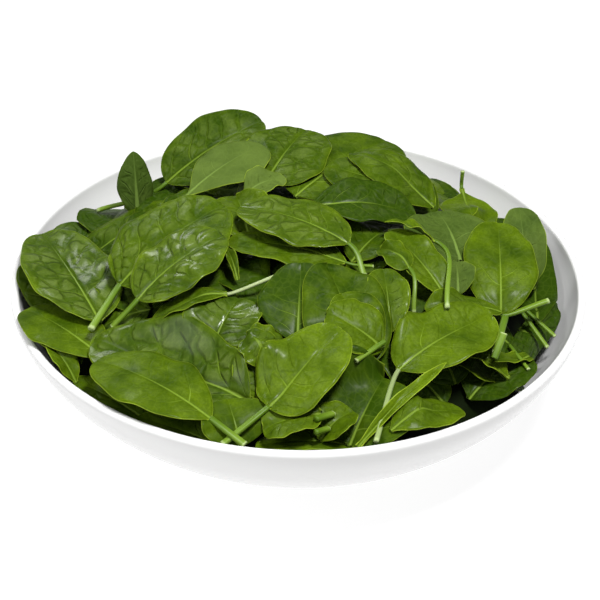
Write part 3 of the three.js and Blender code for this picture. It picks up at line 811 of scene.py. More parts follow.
# %% Scatter leaves deep inside
DEEP_LEAVES = 44
DEEP_SEED = 3
DEEP_REACH = 100
DEEP_TURN = 2.4  # radians from one leaf to the next
DEEP_LEVEL = -9
DEEP_LIFTS = (0, 3)
DEEP_HALF_LENGTHS = (18, 26)
DEEP_WIDTHS = (26, 38)
DEEP_CUPS = (-6, 8)
# painted shade: the deep leaves take only dark tones, partly their own green and partly the shade
# of the gaps they lie in
DEEP_SHADE_TONES = (-1.2, -0.4)


def deep_leaves():
    """Leaves that only show through the gaps, spread over the whole mound."""
    draw = np.random.default_rng(DEEP_SEED)
    found = []
    for k in range(DEEP_LEAVES):
        reach = DEEP_REACH * math.sqrt((k + 0.5) / DEEP_LEAVES)
        place = k * DEEP_TURN
        x, y = reach * math.cos(place), reach * math.sin(place)
        turn, half = draw.uniform(0, 2 * math.pi), draw.uniform(*DEEP_HALF_LENGTHS)
        dx, dy = half * math.cos(turn), half * math.sin(turn)
        base = (x - dx, y - dy, DEEP_LEVEL + draw.uniform(*DEEP_LIFTS))
        tip = (x + dx, y + dy, DEEP_LEVEL + draw.uniform(*DEEP_LIFTS))
        found.append(leaf("deep", base, tip, draw.uniform(*DEEP_WIDTHS), form="round",
                          cup=draw.uniform(*DEEP_CUPS), quilt=0.6,
                          tone=draw.uniform(*DEEP_SHADE_TONES)))
    return found


print(len(deep_leaves()), "leaves deep inside")

# %% [markdown]
# ## A leaf as a thin solid
# A blade is about half a millimetre thick and thins out to its margin, and the midrib stands out
# below as a ridge. A Solidify modifier would give the same thickness everywhere. So the upper
# and the under face are worked out apart, both are split into triangles alike, and a border
# closes them. Each point also carries numbers for the colours, because one material can then
# serve all leaves: how far the point is from the midrib and from the margin, where it lies
# between two side veins, and the leaf's own tone.

# %% Give a blade its thickness
BLADE_THICKNESS = 0.45
MARGIN_THICKNESS = 0.22
RIDGE_HEIGHT = 1.1
RIDGE_WIDE = 0.5  # at the tip
RIDGE_WIDER = 0.9  # and so much more at the stem
GROOVE_DEPTH = 0.45
GROOVE_WIDE = 0.7


def blade_faces(rows, columns):
    """The triangles of the upper face, the under face and the border between them."""
    number = np.arange(rows * columns).reshape(rows, columns)
    a, b = number[:-1, :-1].ravel(), number[1:, :-1].ravel()
    c, d = number[1:, 1:].ravel(), number[:-1, 1:].ravel()
    under = rows * columns
    faces = [np.stack([a, b, c], 1), np.stack([a, c, d], 1)]
    faces += [np.stack([a, c, b], 1) + under, np.stack([a, d, c], 1) + under]
    border = np.concatenate([number[:-1, 0], number[-1, :-1], number[:0:-1, -1], number[0, :0:-1]])
    after = np.roll(border, -1)
    faces += [np.stack([border + under, after + under, after], 1)]
    faces += [np.stack([border + under, after, border], 1)]
    return np.concatenate(faces)


def blade_skin(one, grid, share, side, phase, chance):
    """Points, triangles and looks of one closed blade."""
    rows, columns = grid.shape[:2]
    along = np.gradient(grid, axis=0)
    across = np.gradient(grid, axis=1)
    normal = np.cross(along, across)
    normal /= np.maximum(np.linalg.norm(normal, axis=2, keepdims=True), 1e-9)
    half = half_width(one, share)[:, None]
    from_margin = half * (1 - np.abs(side)[None, :])
    from_midrib = half * side[None, :]
    inwards = np.minimum(from_margin, 1)
    thickness = MARGIN_THICKNESS + (BLADE_THICKNESS - MARGIN_THICKNESS) * inwards
    ridge_wide = RIDGE_WIDE + RIDGE_WIDER * (1 - share[:, None])
    ridge = (1 - share[:, None]) * np.exp(-(from_midrib / ridge_wide) ** 2)
    fading = (1 - share[:, None]) ** 0.7
    groove = GROOVE_DEPTH * fading * np.exp(-(from_midrib / GROOVE_WIDE) ** 2)
    raised, sunk = thickness / 2 + RIDGE_HEIGHT * ridge, thickness / 2 - groove
    top = grid + normal * (raised if one["under"] else sunk)[..., None]
    low = grid - normal * (sunk if one["under"] else raised)[..., None]
    points = np.concatenate([top.reshape(-1, 3), low.reshape(-1, 3)])

    length = np.linalg.norm(on_heap(one["tip"]) - on_heap(one["base"]))
    ones = np.ones((rows, columns))
    looks = {
        "along": share[:, None] * length * ones,
        "reach": share[:, None] * ones,
        "across": from_midrib * ones,
        "margin": from_margin * ones,
        "vein": vein_count(one, share[:, None], side[None, :], phase) * ones,
        "tone": one["tone"] * ones,
        "quilt": one["quilt"] * ones,
        "gloss": one["gloss"] * ones,
        "chance": chance * ones,
    }
    looks = {key: np.tile(value.ravel(), 2) for key, value in looks.items()}
    upper_is_under = 1.0 if one["under"] else 0.0
    looks["under"] = np.repeat([upper_is_under, 1 - upper_is_under], rows * columns)
    return points, blade_faces(rows, columns), looks


print("a blade of 64 by 41 points has", len(blade_faces(64, 41)), "triangles")

# %% [markdown]
# A stem is a tube that grows a little from the blade to the cut end, with a groove along its
# upper side. A curve with a round bevel would give the tube but not the groove. Here a ring of
# points runs along the line, and the groove pulls its upper points in. The cut end is flat.

# %% Make a stem's tube
LOOKS = ("along", "reach", "across", "margin", "vein",  # places on the blade
         "tone", "quilt", "gloss", "under", "chance")  # and the leaf's own numbers
STEM_SIDES = 12
STEM_ROWS = 32
STEM_GROOVE = 0.35  # share of the radius
STEM_GROOVE_WIDE = 0.5  # radians


def stem_skin(line, start_radius, end_radius, pale):
    """Points, triangles and looks of a closed stem along a line of points."""
    rows = STEM_ROWS
    doubled = line[:, None, :].repeat(2, axis=1)
    line = between(doubled, np.linspace(0, 1, rows), np.zeros(1))[:, 0]
    along = unit(np.gradient(line, axis=0))
    beside = unit(np.cross([0, 0, 1.0], along))
    over = np.cross(along, beside)
    angle = 2 * np.pi * np.arange(STEM_SIDES) / STEM_SIDES
    groove = 1 - STEM_GROOVE * np.exp(-((angle - np.pi / 2) / STEM_GROOVE_WIDE) ** 2)
    share = np.linspace(0, 1, rows)[:, None]
    radius = (start_radius + (end_radius - start_radius) * share) * groove[None, :]
    points = line[:, None, :] + beside[:, None, :] * (radius * np.cos(angle))[..., None]
    points = points + over[:, None, :] * (radius * np.sin(angle))[..., None]
    number = np.arange(rows * STEM_SIDES).reshape(rows, STEM_SIDES)
    a, b = number[:-1], number[1:]
    a2, b2 = np.roll(a, -1, axis=1), np.roll(b, -1, axis=1)
    faces = [np.stack([a.ravel(), a2.ravel(), b2.ravel()], 1)]
    faces += [np.stack([a.ravel(), b2.ravel(), b.ravel()], 1)]
    first, last = rows * STEM_SIDES, rows * STEM_SIDES + 1
    k = np.arange(STEM_SIDES)
    after = np.roll(k, -1)
    faces += [np.stack([np.full_like(k, first), after, k], 1)]
    end = (rows - 1) * STEM_SIDES
    faces += [np.stack([np.full_like(k, last), end + k, end + after], 1)]
    points = np.concatenate([points.reshape(-1, 3), line[:1], line[-1:]])
    looks = {key: np.zeros(len(points)) for key in LOOKS}
    looks["along"] = np.concatenate([np.repeat(share.ravel(), STEM_SIDES), [0, 1]])
    looks["tone"] = np.full(len(points), float(pale))
    return points, np.concatenate(faces), looks


print("a stem has", 2 * STEM_SIDES * STEM_ROWS, "triangles")

# %% [markdown]
# Each kind of leaf becomes one mesh, because a hundred objects would be slow to handle. The
# Join operator does that too, but numpy arrays written straight into the mesh take a moment
# only. The numbers for the colours go along as attributes of the points.

# %% Join the skins of one kind
def joined_mesh(name, skins):
    """One mesh from many closed skins, with the looks as attributes of its points."""
    points, faces, start = [], [], 0
    for own_points, own_faces, _ in skins:
        points.append(own_points)
        faces.append(own_faces + start)
        start += len(own_points)
    points, faces = np.concatenate(points) * MM, np.concatenate(faces)
    mesh = bpy.data.meshes.new(name)
    mesh.vertices.add(len(points))
    mesh.vertices.foreach_set("co", points.ravel().astype(np.float32))
    mesh.loops.add(faces.size)
    mesh.loops.foreach_set("vertex_index", faces.ravel().astype(np.int32))
    mesh.polygons.add(len(faces))
    mesh.polygons.foreach_set("loop_start", np.arange(0, faces.size, 3, dtype=np.int32))
    mesh.update(calc_edges=True)
    for key in LOOKS:
        values = np.concatenate([looks[key] for _, _, looks in skins])
        attribute = mesh.attributes.new(key, "FLOAT", "POINT")
        attribute.data.foreach_set("value", values.astype(np.float32))
    mesh.shade_smooth()
    return mesh


print("each point carries", len(LOOKS), "numbers for the material")

# %% [markdown]
# ## Filling the bowl
# The deep leaves lie straight on the core and don't lift the others. The rest are laid down in
# the order of the list, and each stem follows its blade. All leaves could have the same fine
# grid, but the broad quilted ones need it most, because their bulges are true shape and not
# only a trick of the light. So the leaves are sorted by kind, and each kind is one piece.

# %% Sort the leaves by kind
GRIDS = {  # rows and columns of each kind
    "quilted_leaves": (64, 41),
    "smooth_leaves": (44, 29),
    "small_leaves": (36, 21),
    "back_leaves": (40, 25),
    "deep_leaves": (24, 15),
}
SMALL_WIDE = 26
QUILTED_FROM = 0.6


def kind_of(one):
    """Which piece a leaf belongs to."""
    if one["name"] in ("deep", "back slope"):
        return "deep_leaves" if one["name"] == "deep" else "back_leaves"
    if one["wide"] < SMALL_WIDE:
        return "small_leaves"
    return "quilted_leaves" if one["quilt"] >= QUILTED_FROM else "smooth_leaves"


print("broad leaves with strong fields:",
      sum(kind_of(one) == "quilted_leaves" for one in LEAVES))

# %% [markdown]
# For each leaf the steps above follow each other: bend the blade on a coarse grid, find how far
# it has to rise, bend it again on the fine grid, give it its thickness, press it into the map,
# and lead its stem. The seed of a leaf is its number in the list, so a leaf keeps its waves
# when others are changed.

# %% Fill the bowl
CHANCE_SEED = 5
MOST_LEAVES = 500
MOST_SEEDS = 1000
MIDRIB_CROWDING = 1.4  # above 1 the columns of a grid crowd at the midrib
STEM_TAPER = 0.85  # the stem's radius at the blade, as a share of that at its cut end


def fill_bowl():
    """Lays every leaf down and returns the skins by kind."""
    heights = empty_map()
    kinds = {kind: [] for kind in [*GRIDS, "stems"]}
    chances = np.random.default_rng(CHANCE_SEED).uniform(0, 1, MOST_LEAVES)
    listed = deep_leaves() + back_leaves() + LEAVES
    unlisted = len(listed) - len(LEAVES)
    for k, one in enumerate(listed):
        seed = (k - unlisted) % MOST_SEEDS
        smooth, _, _ = blade({**one, "quilt": 0}, COARSE_ROWS, COARSE_SIDE, seed)
        coarse, _, _ = blade(one, COARSE_ROWS, COARSE_SIDE, seed)
        lifts = np.zeros(coarse.shape[:2]) if one["free"] else lifts_needed(heights, smooth)
        coarse[..., 2] += lifts
        kind = kind_of(one)
        rows, columns = GRIDS[kind]
        spread = np.linspace(-1, 1, columns)
        side = np.sign(spread) * np.abs(spread) ** MIDRIB_CROWDING
        grid, share, phase = blade(one, rows, side, seed)
        grid[..., 2] += between(lifts, np.linspace(0, 1, rows), (side + 1) / 2)
        kinds[kind].append(blade_skin(one, grid, share, side, phase, chances[k]))
        if kind != "deep_leaves":
            press(heights, coarse)
        if one["stem"]:
            line = stem_line(one, coarse, heights)
            tube = stem_skin(line, STEM_TAPER * one["thick"], one["thick"], one["pale"])
            kinds["stems"].append(tube)
    for start, end, radius in LOOSE_STEMS:
        line = np.linspace(on_heap(start), on_heap(end), STEM_STEPS)
        kinds["stems"].append(stem_skin(line, radius, radius, 0))
    return kinds


kinds = fill_bowl()
for kind, skins in kinds.items():
    print(kind, len(skins), "pieces,", sum(len(faces) for _, faces, _ in skins), "triangles")

# %% [markdown]
# ## A short way to write materials
# A procedural material is a net of small nodes. They could be placed by hand in the shader
# editor, but a leaf needs about a hundred. Each word of the class below adds one, so that a
# formula reads like a formula. Distances on a leaf are millimetres, as in the attributes.

# %% Write materials in few words
class Dye:
    """Adds nodes to a material in few words."""

    def __init__(self, material):
        self.nodes = material.node_tree.nodes
        self.links = material.node_tree.links

    def feed(self, socket, value):
        """Links a socket to another node's result, or sets it to a number."""
        if isinstance(value, bpy.types.NodeSocket):
            self.links.new(value, socket)
        else:
            socket.default_value = value

    def add(self, kind, **inputs):
        """A node of a kind; an input is named, or numbered as in i0 and i1."""
        node = self.nodes.new(kind)
        for key, value in inputs.items():
            numbered = key[0] == "i" and key[1:].isdigit()
            self.feed(node.inputs[int(key[1:]) if numbered else key], value)
        return node

    def math(self, operation, a, b=0.0):
        """The result of an operation on one or two values."""
        node = self.add("ShaderNodeMath", i0=a, i1=b)
        node.operation = operation
        return node.outputs[0]

    def plus(self, a, b):
        """The sum of two values."""
        return self.math("ADD", a, b)

    def times(self, a, b):
        """The product of two values."""
        return self.math("MULTIPLY", a, b)

    def less(self, a, b):
        """The first value less the second."""
        return self.math("SUBTRACT", a, b)

    def value(self, name):
        """One of the numbers that the points carry."""
        node = self.nodes.new("ShaderNodeAttribute")
        node.attribute_name = name
        return node.outputs["Fac"]

    def fade(self, value, start, end):
        """0 at start and 1 at end, with a soft passage."""
        node = self.add("ShaderNodeMapRange", i0=value, i1=start, i2=end, i3=0.0, i4=1.0)
        node.interpolation_type = "SMOOTHSTEP"
        return node.outputs[0]

    def noise(self, place, scale, detail):
        """A cloudy noise node."""
        return self.add("ShaderNodeTexNoise", Vector=place, Scale=scale, Detail=detail)

    def cell_edges(self, place, scale):
        """How far a place is from the nearest edge of a net of cells."""
        node = self.add("ShaderNodeTexVoronoi", Vector=place, Scale=scale)
        node.feature = "DISTANCE_TO_EDGE"
        return node.outputs["Distance"]

    def mix(self, share, a, b):
        """A colour between two colours."""
        node = self.nodes.new("ShaderNodeMix")
        node.data_type = "RGBA"
        for socket, value in ((node.inputs[0], share), (node.inputs[6], a), (node.inputs[7], b)):
            self.feed(socket, value)
        return node.outputs[2]


print("words for materials:", [word for word in vars(Dye) if not word.startswith("_")])

# %% [markdown]
# ## Leaf green
# A leaf's colour could be painted or taken from a picture, but a picture would have to be
# stretched over every blade. A pattern that is worked out from the distances to the midrib and
# the margin fits each blade by itself. This first part finds the veins. The midrib is wide at
# the stem and runs out towards the tip. The side veins lie where the count of veins is a whole
# number and fade towards the margin and the tip. A fine net joins them. A pair of numbers here
# is where something fades in: it starts at the first and is full at the second.

# %% Find the veins
LEAVES_APART = 97.0  # millimetres in the noise between one leaf and the next
NET_SCALE = 0.3  # cells in a millimetre, as for the other scales
NET_WIDE = 0.14
RIB_AT_STEM = 0.85
RIB_LOSS = -0.65
RIB_ALONG = (0.0, 0.95)
RIB_CORE = 0.3  # share of its width that is full
RIB_STRENGTH = 0.9
RIB_FADING = 0.8
SIDE_VEIN_WIDE = (0.008, 0.045)
VEINS_FROM_MARGIN = (1.0, 9.0)
VEINS_IN_CLOUDS = (0.35, 0.65)
VEINS_ALONG = (0.1, 0.75)
VEINS_AT_TIP = 0.2


def leaf_place(dye):
    """Where a point lies on its blade, with each leaf in a part of the noise of its own."""
    apart = dye.times(dye.value("chance"), LEAVES_APART)
    both = dye.add("ShaderNodeCombineXYZ", i0=dye.value("across"), i1=dye.value("along"), i2=apart)
    return both.outputs[0]


def from_side_vein(dye):
    """0 on a side vein and a half in the middle between two."""
    count = dye.value("vein")
    return dye.math("ABSOLUTE", dye.less(count, dye.math("ROUND", count)))


def midrib_pattern(dye):
    """1 on the midrib and 0 beside it."""
    across = dye.math("ABSOLUTE", dye.value("across"))
    to_tip = dye.fade(dye.value("reach"), *RIB_ALONG)
    wide = dye.plus(RIB_AT_STEM, dye.times(to_tip, RIB_LOSS))
    rib = dye.less(1.0, dye.fade(across, dye.times(wide, RIB_CORE), wide))
    return dye.times(rib, dye.less(RIB_STRENGTH, dye.times(to_tip, RIB_FADING)))


def side_vein_pattern(dye, spots):
    """1 on a strong side vein and 0 beside it."""
    vein = dye.less(1.0, dye.fade(from_side_vein(dye), *SIDE_VEIN_WIDE))
    vein = dye.times(vein, dye.fade(dye.value("margin"), *VEINS_FROM_MARGIN))
    vein = dye.times(vein, dye.fade(spots, *VEINS_IN_CLOUDS))
    near_base = dye.less(1.0, dye.fade(dye.value("reach"), *VEINS_ALONG))
    return dye.times(vein, dye.plus(VEINS_AT_TIP, near_base))


def net_pattern(dye, place):
    """1 on the finest veins and 0 in the meshes of their net."""
    return dye.less(1.0, dye.fade(dye.cell_edges(place, NET_SCALE), 0.0, NET_WIDE))


print("the midrib is", RIB_AT_STEM, "mm wide on each side at the stem and",
      round(RIB_AT_STEM + RIB_LOSS, 2), "mm at the tip")

# %% [markdown]
# The second part finds the fields. The big bulges are true shape, but each has smaller ones on
# it, which would need too many triangles. So these are a pattern of bent cells that tilts the
# light through a bump and is painted into the green as well: a painted sheen on the bulges and
# painted shade in the grooves. It stops at the veins and before the margin, and is as strong as
# the leaf's own quilting.

# %% Find the fields
FIELD_SCALE = 0.11
FIELD_EDGE = 0.17
BEND_SCALE = 0.12
BEND_REACH = (9, 9, 9)
QUILT_POWER = 1.4  # above 1 smooth leaves stay quite smooth
PUFF_FROM_VEIN = (0.0, 0.11)
PUFF_FROM_MIDRIB = (0.2, 3.0)
PUFF_FROM_MARGIN = (0.5, 5.0)


def puff_pattern(dye, place):
    """1 on top of a small bulge and 0 in the grooves between them."""
    noise = dye.noise(place, BEND_SCALE, 1.0).outputs["Color"]
    bend = dye.add("ShaderNodeVectorMath", i0=noise, i1=BEND_REACH)
    bend.operation = "MULTIPLY"
    bent = dye.add("ShaderNodeVectorMath", i0=bend.outputs[0], i1=place)
    puff = dye.fade(dye.cell_edges(bent.outputs[0], FIELD_SCALE), 0.0, FIELD_EDGE)
    puff = dye.times(puff, dye.fade(from_side_vein(dye), *PUFF_FROM_VEIN))
    across = dye.math("ABSOLUTE", dye.value("across"))
    return dye.times(puff, dye.fade(across, *PUFF_FROM_MIDRIB))


def quilt_strength(dye):
    """How strongly the small bulges show at a point."""
    strength = dye.math("POWER", dye.value("quilt"), QUILT_POWER)
    return dye.times(strength, dye.fade(dye.value("margin"), *PUFF_FROM_MARGIN))


print("a small bulge is about", round(1 / FIELD_SCALE), "mm wide")

# %% [markdown]
# The third part mixes the colours. Young leaves go from a dark blueless green to a light
# yellowish one, in clouds and from leaf to leaf. The bulges get a painted greyish sheen, the
# grooves between them painted shade, fine dark grains break up the flat green, and the veins
# are paler. The thin margin is lighter, partly its own paler green and partly a painted
# highlight along the edge. The underside is greyer and paler.

# %% Mix the greens
DARK_GREEN = (0.022, 0.050, 0.001, 1)
LIGHT_GREEN = (0.125, 0.200, 0.003, 1)
# painted highlight: a greyish sheen colour that is mixed into the tops of the small bulges
SHEEN_HIGHLIGHT_GREEN = (0.135, 0.165, 0.080, 1)
# painted shade: the dark green that is mixed into the grooves between the small bulges
GROOVE_SHADE_GREEN = (0.018, 0.048, 0.001, 1)
GRAIN_GREEN = (0.030, 0.062, 0.001, 1)
VEIN_GREEN = (0.24, 0.36, 0.04, 1)
UNDER_DARK = (0.045, 0.080, 0.010, 1)
UNDER_LIGHT = (0.105, 0.160, 0.026, 1)
UNDER_VEIN = (0.17, 0.26, 0.05, 1)
# partly the margin's own paler green and partly a painted highlight along the edge
PALE_MARGIN_HIGHLIGHT_GREEN = (0.30, 0.41, 0.03, 1)
MARGIN_WIDE = (0.05, 0.38)
MARGIN_LEAST = 0.3
MARGIN_BY_TONE = 0.7
TONE_BY_LEAF = 0.45
TONE_BY_CLOUD = 1.5
TONE_LOSS = 0.33
TONE_BY_CHANCE = 0.3
SHEEN_HIGHLIGHT_SHARE = 0.40
SHEEN_HIGHLIGHT_IN_CLOUDS = (0.3, 0.7)
GROOVE_SHADE_SHARE = 0.62
GRAIN_SHARE = 0.30
GRAIN_SOFT = (0.40, 0.62)
VEIN_SHARE = 0.7


def leaf_tone(dye, spots):
    """From dark (0) to light (1), by leaf and by cloud."""
    clouds = dye.less(dye.times(spots, TONE_BY_CLOUD), TONE_LOSS)
    tone = dye.plus(dye.times(dye.value("tone"), TONE_BY_LEAF), clouds)
    return dye.plus(tone, dye.times(dye.less(dye.value("chance"), 0.5), TONE_BY_CHANCE))


def upper_green(dye, tone, spots, fine, puff, veins):
    """The colour of the upper face."""
    strength = quilt_strength(dye)
    # painted highlight: where the greyish sheen is painted on the bulges
    painted_sheen = dye.times(dye.times(puff, strength), dye.fade(spots, *SHEEN_HIGHLIGHT_IN_CLOUDS))
    # painted shade: where the grooves are darkened
    groove = dye.times(dye.less(1.0, puff), strength)
    green = dye.mix(tone, DARK_GREEN, LIGHT_GREEN)
    green = dye.mix(dye.times(painted_sheen, SHEEN_HIGHLIGHT_SHARE), green, SHEEN_HIGHLIGHT_GREEN)
    green = dye.mix(dye.times(groove, GROOVE_SHADE_SHARE), green, GROOVE_SHADE_GREEN)
    grain = dye.times(dye.fade(fine, *GRAIN_SOFT), GRAIN_SHARE)
    green = dye.mix(grain, green, GRAIN_GREEN)
    return dye.mix(dye.times(veins, VEIN_SHARE), green, VEIN_GREEN)


def leaf_colour(dye, tone, green, veins):
    """The colour of both faces and of the margin."""
    grey = dye.mix(veins, dye.mix(tone, UNDER_DARK, UNDER_LIGHT), UNDER_VEIN)
    colour = dye.mix(dye.value("under"), green, grey)
    # the thin margin line: its own paler green plus a painted edge highlight, brighter on light
    # leaves
    margin = dye.less(1.0, dye.fade(dye.value("margin"), *MARGIN_WIDE))
    margin = dye.times(margin, dye.plus(MARGIN_LEAST, dye.times(tone, MARGIN_BY_TONE)))
    return dye.mix(margin, colour, PALE_MARGIN_HIGHLIGHT_GREEN)


print("the greens reach from", DARK_GREEN[:3], "to", LIGHT_GREEN[:3])

# %% [markdown]
# The last part joins all this. The wax that makes some leaves glossy lies over the green like a
# varnish, so it is a clear coat, as strong as the leaf's own gloss and only on the upper face. A
# strong reflection of the green itself would make the whole heap grey, so that is kept low. The
# grooves and veins also tilt the light through a Bump node.

# %% Make the leaf material
CLOUD_SCALE = 0.09
GRAIN_SCALE = 1.1
LEAF_IOR = 1.45
LEAF_SPECULAR = 0.05
WAX_ROUGHNESS = 0.21
SIDE_VEIN_SHARE = 0.55
NET_SHARE = 0.07
ROUGH_LEAST = 0.36
ROUGH_UNDER = 0.16
ROUGH_GRAIN = 0.14
RELIEF = 1 * MM
RELIEF_GROOVE = 0.9
RELIEF_SMALL = 0.3
RELIEF_GRAIN = 0.18
RELIEF_VEIN = 0.5
RELIEF_NET = 0.06


def leaf_material():
    """The material of every blade, steered by the numbers that its points carry."""
    material, shader = new_material("spinach leaf")
    dye = Dye(material)
    place = leaf_place(dye)
    spots = dye.noise(place, CLOUD_SCALE, 3.0).outputs["Fac"]
    fine = dye.noise(place, GRAIN_SCALE, 3.0).outputs["Fac"]
    net = net_pattern(dye, place)
    puff = puff_pattern(dye, place)
    side_veins = dye.times(side_vein_pattern(dye, spots), SIDE_VEIN_SHARE)
    veins = dye.math("MAXIMUM", midrib_pattern(dye), side_veins)
    veins = dye.math("MAXIMUM", veins, dye.times(net, NET_SHARE))
    tone = leaf_tone(dye, spots)
    green = upper_green(dye, tone, spots, fine, puff, veins)
    dye.feed(shader.inputs["Base Color"], leaf_colour(dye, tone, green, veins))

    under = dye.value("under")
    rough = dye.plus(dye.times(under, ROUGH_UNDER), dye.times(fine, ROUGH_GRAIN))
    dye.feed(shader.inputs["Roughness"], dye.plus(rough, ROUGH_LEAST))
    shader.inputs["Specular IOR Level"].default_value = LEAF_SPECULAR
    shader.inputs["IOR"].default_value = LEAF_IOR
    wax = dye.times(dye.value("gloss"), dye.less(1.0, under))
    dye.feed(shader.inputs["Coat Weight"], wax)
    shader.inputs["Coat Roughness"].default_value = WAX_ROUGHNESS
    shader.inputs["Coat IOR"].default_value = LEAF_IOR

    groove = dye.times(dye.less(1.0, puff), quilt_strength(dye))
    small = dye.less(dye.times(fine, RELIEF_GRAIN), dye.times(veins, RELIEF_VEIN))
    small = dye.less(small, dye.times(net, RELIEF_NET))
    relief = dye.less(dye.times(small, RELIEF_SMALL), dye.times(groove, RELIEF_GROOVE))
    bump = dye.add("ShaderNodeBump", Strength=1.0, Distance=RELIEF, Height=relief)
    dye.feed(shader.inputs["Normal"], bump.outputs[0])
    return material


spinach_leaf = leaf_material()
print("the leaf material has", len(spinach_leaf.node_tree.nodes), "nodes")

# %% [markdown]
# ## Stem green
# A stem is juicy and lets light in, so a subsurface shader could be used. It is too thin for
# that to show, and a plain light green is enough. It gets lighter towards the cut end, and some
# stems are whitish.

# %% Make the stem material
STEM_GREEN = (0.08, 0.155, 0.006, 1)
STEM_LIGHT = (0.15, 0.25, 0.02, 1)
STEM_PALE = (0.40, 0.46, 0.24, 1)
CUT_END = (0.40, 0.50, 0.20, 1)
STEM_ROUGHNESS = 0.4
STEM_SPECULAR = 0.3


def stem_material():
    """The material of every stem, from the blade to the cut end."""
    material, shader = new_material("spinach stem")
    dye = Dye(material)
    along = dye.value("along")
    colour = dye.mix(dye.fade(along, 0.0, 0.9), STEM_GREEN, STEM_LIGHT)
    colour = dye.mix(dye.value("tone"), colour, STEM_PALE)
    colour = dye.mix(dye.fade(along, 0.93, 1.0), colour, CUT_END)
    dye.feed(shader.inputs["Base Color"], colour)
    shader.inputs["Roughness"].default_value = STEM_ROUGHNESS
    shader.inputs["Specular IOR Level"].default_value = STEM_SPECULAR
    return material


spinach_stem = stem_material()
print("the stem material has", len(spinach_stem.node_tree.nodes), "nodes")

# %% [markdown]
# ## The leaves become pieces
# The skins of each kind are joined now, take their material and replace the frame's heap, which is
# hidden.

# %% Put the leaves in the scene
for kind, skins in kinds.items():
    material = spinach_stem if kind == "stems" else spinach_leaf
    piece = add_piece("spinach_" + kind, joined_mesh(kind, skins), material, "spinach")
    print(piece.name, "has", len(piece.data.vertices), "points")

# %% [markdown]
# ## The core
# In the real bowl more leaves lie below, which nobody sees. Building them would only cost time,
# and an empty space would let the white bowl shine through the gaps. A lumpy body, so dark that
# it reads as shade, fills the bowl under the lowest leaves.

# %% Fill the bowl's inside with a core
CORE_RINGS = 24
CORE_AROUND = 72
CORE_SINK = 3  # the core's top lies so far under its place in the height map
CORE_LUMPS = 1.2
CORE_GAP = 0.6
CORE_GREEN = (0.004, 0.008, 0.001, 1)
CORE_ROUGHNESS = 0.6
CORE_SPECULAR = 0.05


def core_mesh():
    """The core's top follows the mound; its underside follows the bowl's inside."""
    radii = np.linspace(0, CORE_RADIUS - 1, CORE_RINGS)
    angles = 2 * np.pi * np.arange(CORE_AROUND) / CORE_AROUND
    x, y = radii[1:, None] * np.cos(angles), radii[1:, None] * np.sin(angles)
    lump = np.sin(x / 9 + 1) * np.cos(y / 11) + np.sin((x + y) / 17)
    top = heap_top(x, y) - CORE_DROP - CORE_SINK + CORE_LUMPS * lump
    low = np.minimum(bowl_inside(np.hypot(x, y)) + CORE_GAP, top - 0.2)
    rings = len(radii) - 1
    points = [(0, 0, float(heap_top(0, 0)) - CORE_DROP - CORE_SINK)]
    points += [(0, 0, FLOOR_HEIGHT + CORE_GAP)]
    points += list(zip(x.ravel(), y.ravel(), top.ravel()))
    points += list(zip(x.ravel(), y.ravel(), low.ravel()))
    faces = []
    over, under = 2, 2 + rings * CORE_AROUND
    for k in range(CORE_AROUND):
        after = (k + 1) % CORE_AROUND
        faces.append((0, over + k, over + after))
        faces.append((1, under + after, under + k))
        for i in range(rings - 1):
            a, b = i * CORE_AROUND, (i + 1) * CORE_AROUND
            faces.append((over + a + k, over + b + k, over + b + after, over + a + after))
            faces.append((under + a + k, under + a + after, under + b + after, under + b + k))
        last = (rings - 1) * CORE_AROUND
        faces.append((over + last + k, under + last + k, under + last + after, over + last + after))
    mesh = bpy.data.meshes.new("core")
    mesh.from_pydata(scaled(points), [], faces)
    mesh.shade_smooth()
    return mesh


shade, core_shader = new_material("leaves in the dark")
core_shader.inputs["Base Color"].default_value = CORE_GREEN
core_shader.inputs["Roughness"].default_value = CORE_ROUGHNESS
core_shader.inputs["Specular IOR Level"].default_value = CORE_SPECULAR
core = add_piece("spinach_core", core_mesh(), shade, "spinach")
print("the core has", len(core.data.polygons), "faces")

# %% [markdown]
# ## The floor
# The bowl stands on plain white paper. Lit paper goes grey away from the lamps, and a very
# strong lamp would burn out the bowl too. So the paper shines a little by itself, which keeps it
# evenly white and still lets the bowl's soft shadow show.

# %% Lay the floor
FLOOR_REACH = 4  # metres
PAPER_GREY = (0.2, 0.2, 0.2, 1)
PAPER_ROUGHNESS = 0.9
PAPER_GLOW = 0.85
WHITE = (1, 1, 1, 1)

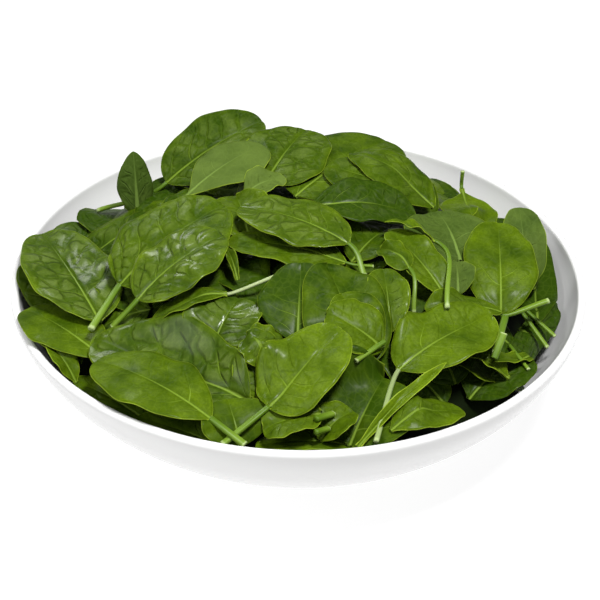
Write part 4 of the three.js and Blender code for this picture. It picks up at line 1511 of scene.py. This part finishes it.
corners = [(x * FLOOR_REACH, y * FLOOR_REACH, 0) for x, y in ((-1, -1), (1, -1), (1, 1), (-1, 1))]
floor_mesh = bpy.data.meshes.new("floor")
floor_mesh.from_pydata(corners, [], [(0, 1, 2, 3)])
floor = bpy.data.objects.new("floor", floor_mesh)
bpy.context.scene.collection.objects.link(floor)
paper, paper_shader = new_material("white paper")
paper_shader.inputs["Base Color"].default_value = PAPER_GREY
paper_shader.inputs["Roughness"].default_value = PAPER_ROUGHNESS
paper_shader.inputs["Emission Color"].default_value = WHITE
paper_shader.inputs["Emission Strength"].default_value = PAPER_GLOW
floor_mesh.materials.append(paper)
print("the floor is", 2 * FLOOR_REACH, "m wide")

# %% [markdown]
# ## The light
# Salad is photographed in a studio with soft light from above. A sky alone would leave no
# shine on the leaves, and a bare sun would cut hard shadows. So a small square lamp high in
# front gives the shine and the short shadows, a large weak one at the left opens these, one
# from behind draws the edges, and a dim sky lights the rest. Places are metres here.

# %% Set up the lamps
SKY_STRENGTH = 0.14
LAMP_TARGET = (0, 0, 0.05)
LAMPS = [  # name, place, size, power
    ("key", (0.27, -0.34, 1.22), 0.22, 18.5),
    ("fill", (-0.80, -0.60, 1.00), 0.8, 8),
    ("back left", (-0.5, 0.9, 0.9), 0.3, 4),
]


def soft_light(name, place, size, power):
    """A square lamp that shines from a place to the heap."""
    lamp = bpy.data.lights.new(name, "AREA")
    lamp.size = size
    lamp.energy = power
    holder = bpy.data.objects.new(name, lamp)
    holder.location = place
    way = Vector(LAMP_TARGET) - Vector(place)
    holder.rotation_euler = way.to_track_quat("-Z", "Y").to_euler()
    bpy.context.scene.collection.objects.link(holder)


for name, place, size, power in LAMPS:
    soft_light(name, place, size, power)

world = bpy.data.worlds.new("studio")
bpy.context.scene.world = world
world.use_nodes = True
sky = world.node_tree.nodes["Background"]
sky.inputs["Color"].default_value = WHITE
sky.inputs["Strength"].default_value = SKY_STRENGTH
bpy.context.scene.view_settings.view_transform = "Standard"
print(len(LAMPS), "lamps and a sky of strength", SKY_STRENGTH)

# %% [markdown] ## The end The finished bowl has to fill the same box as the frame's solids, or
# other parts wouldn't fit beside it.
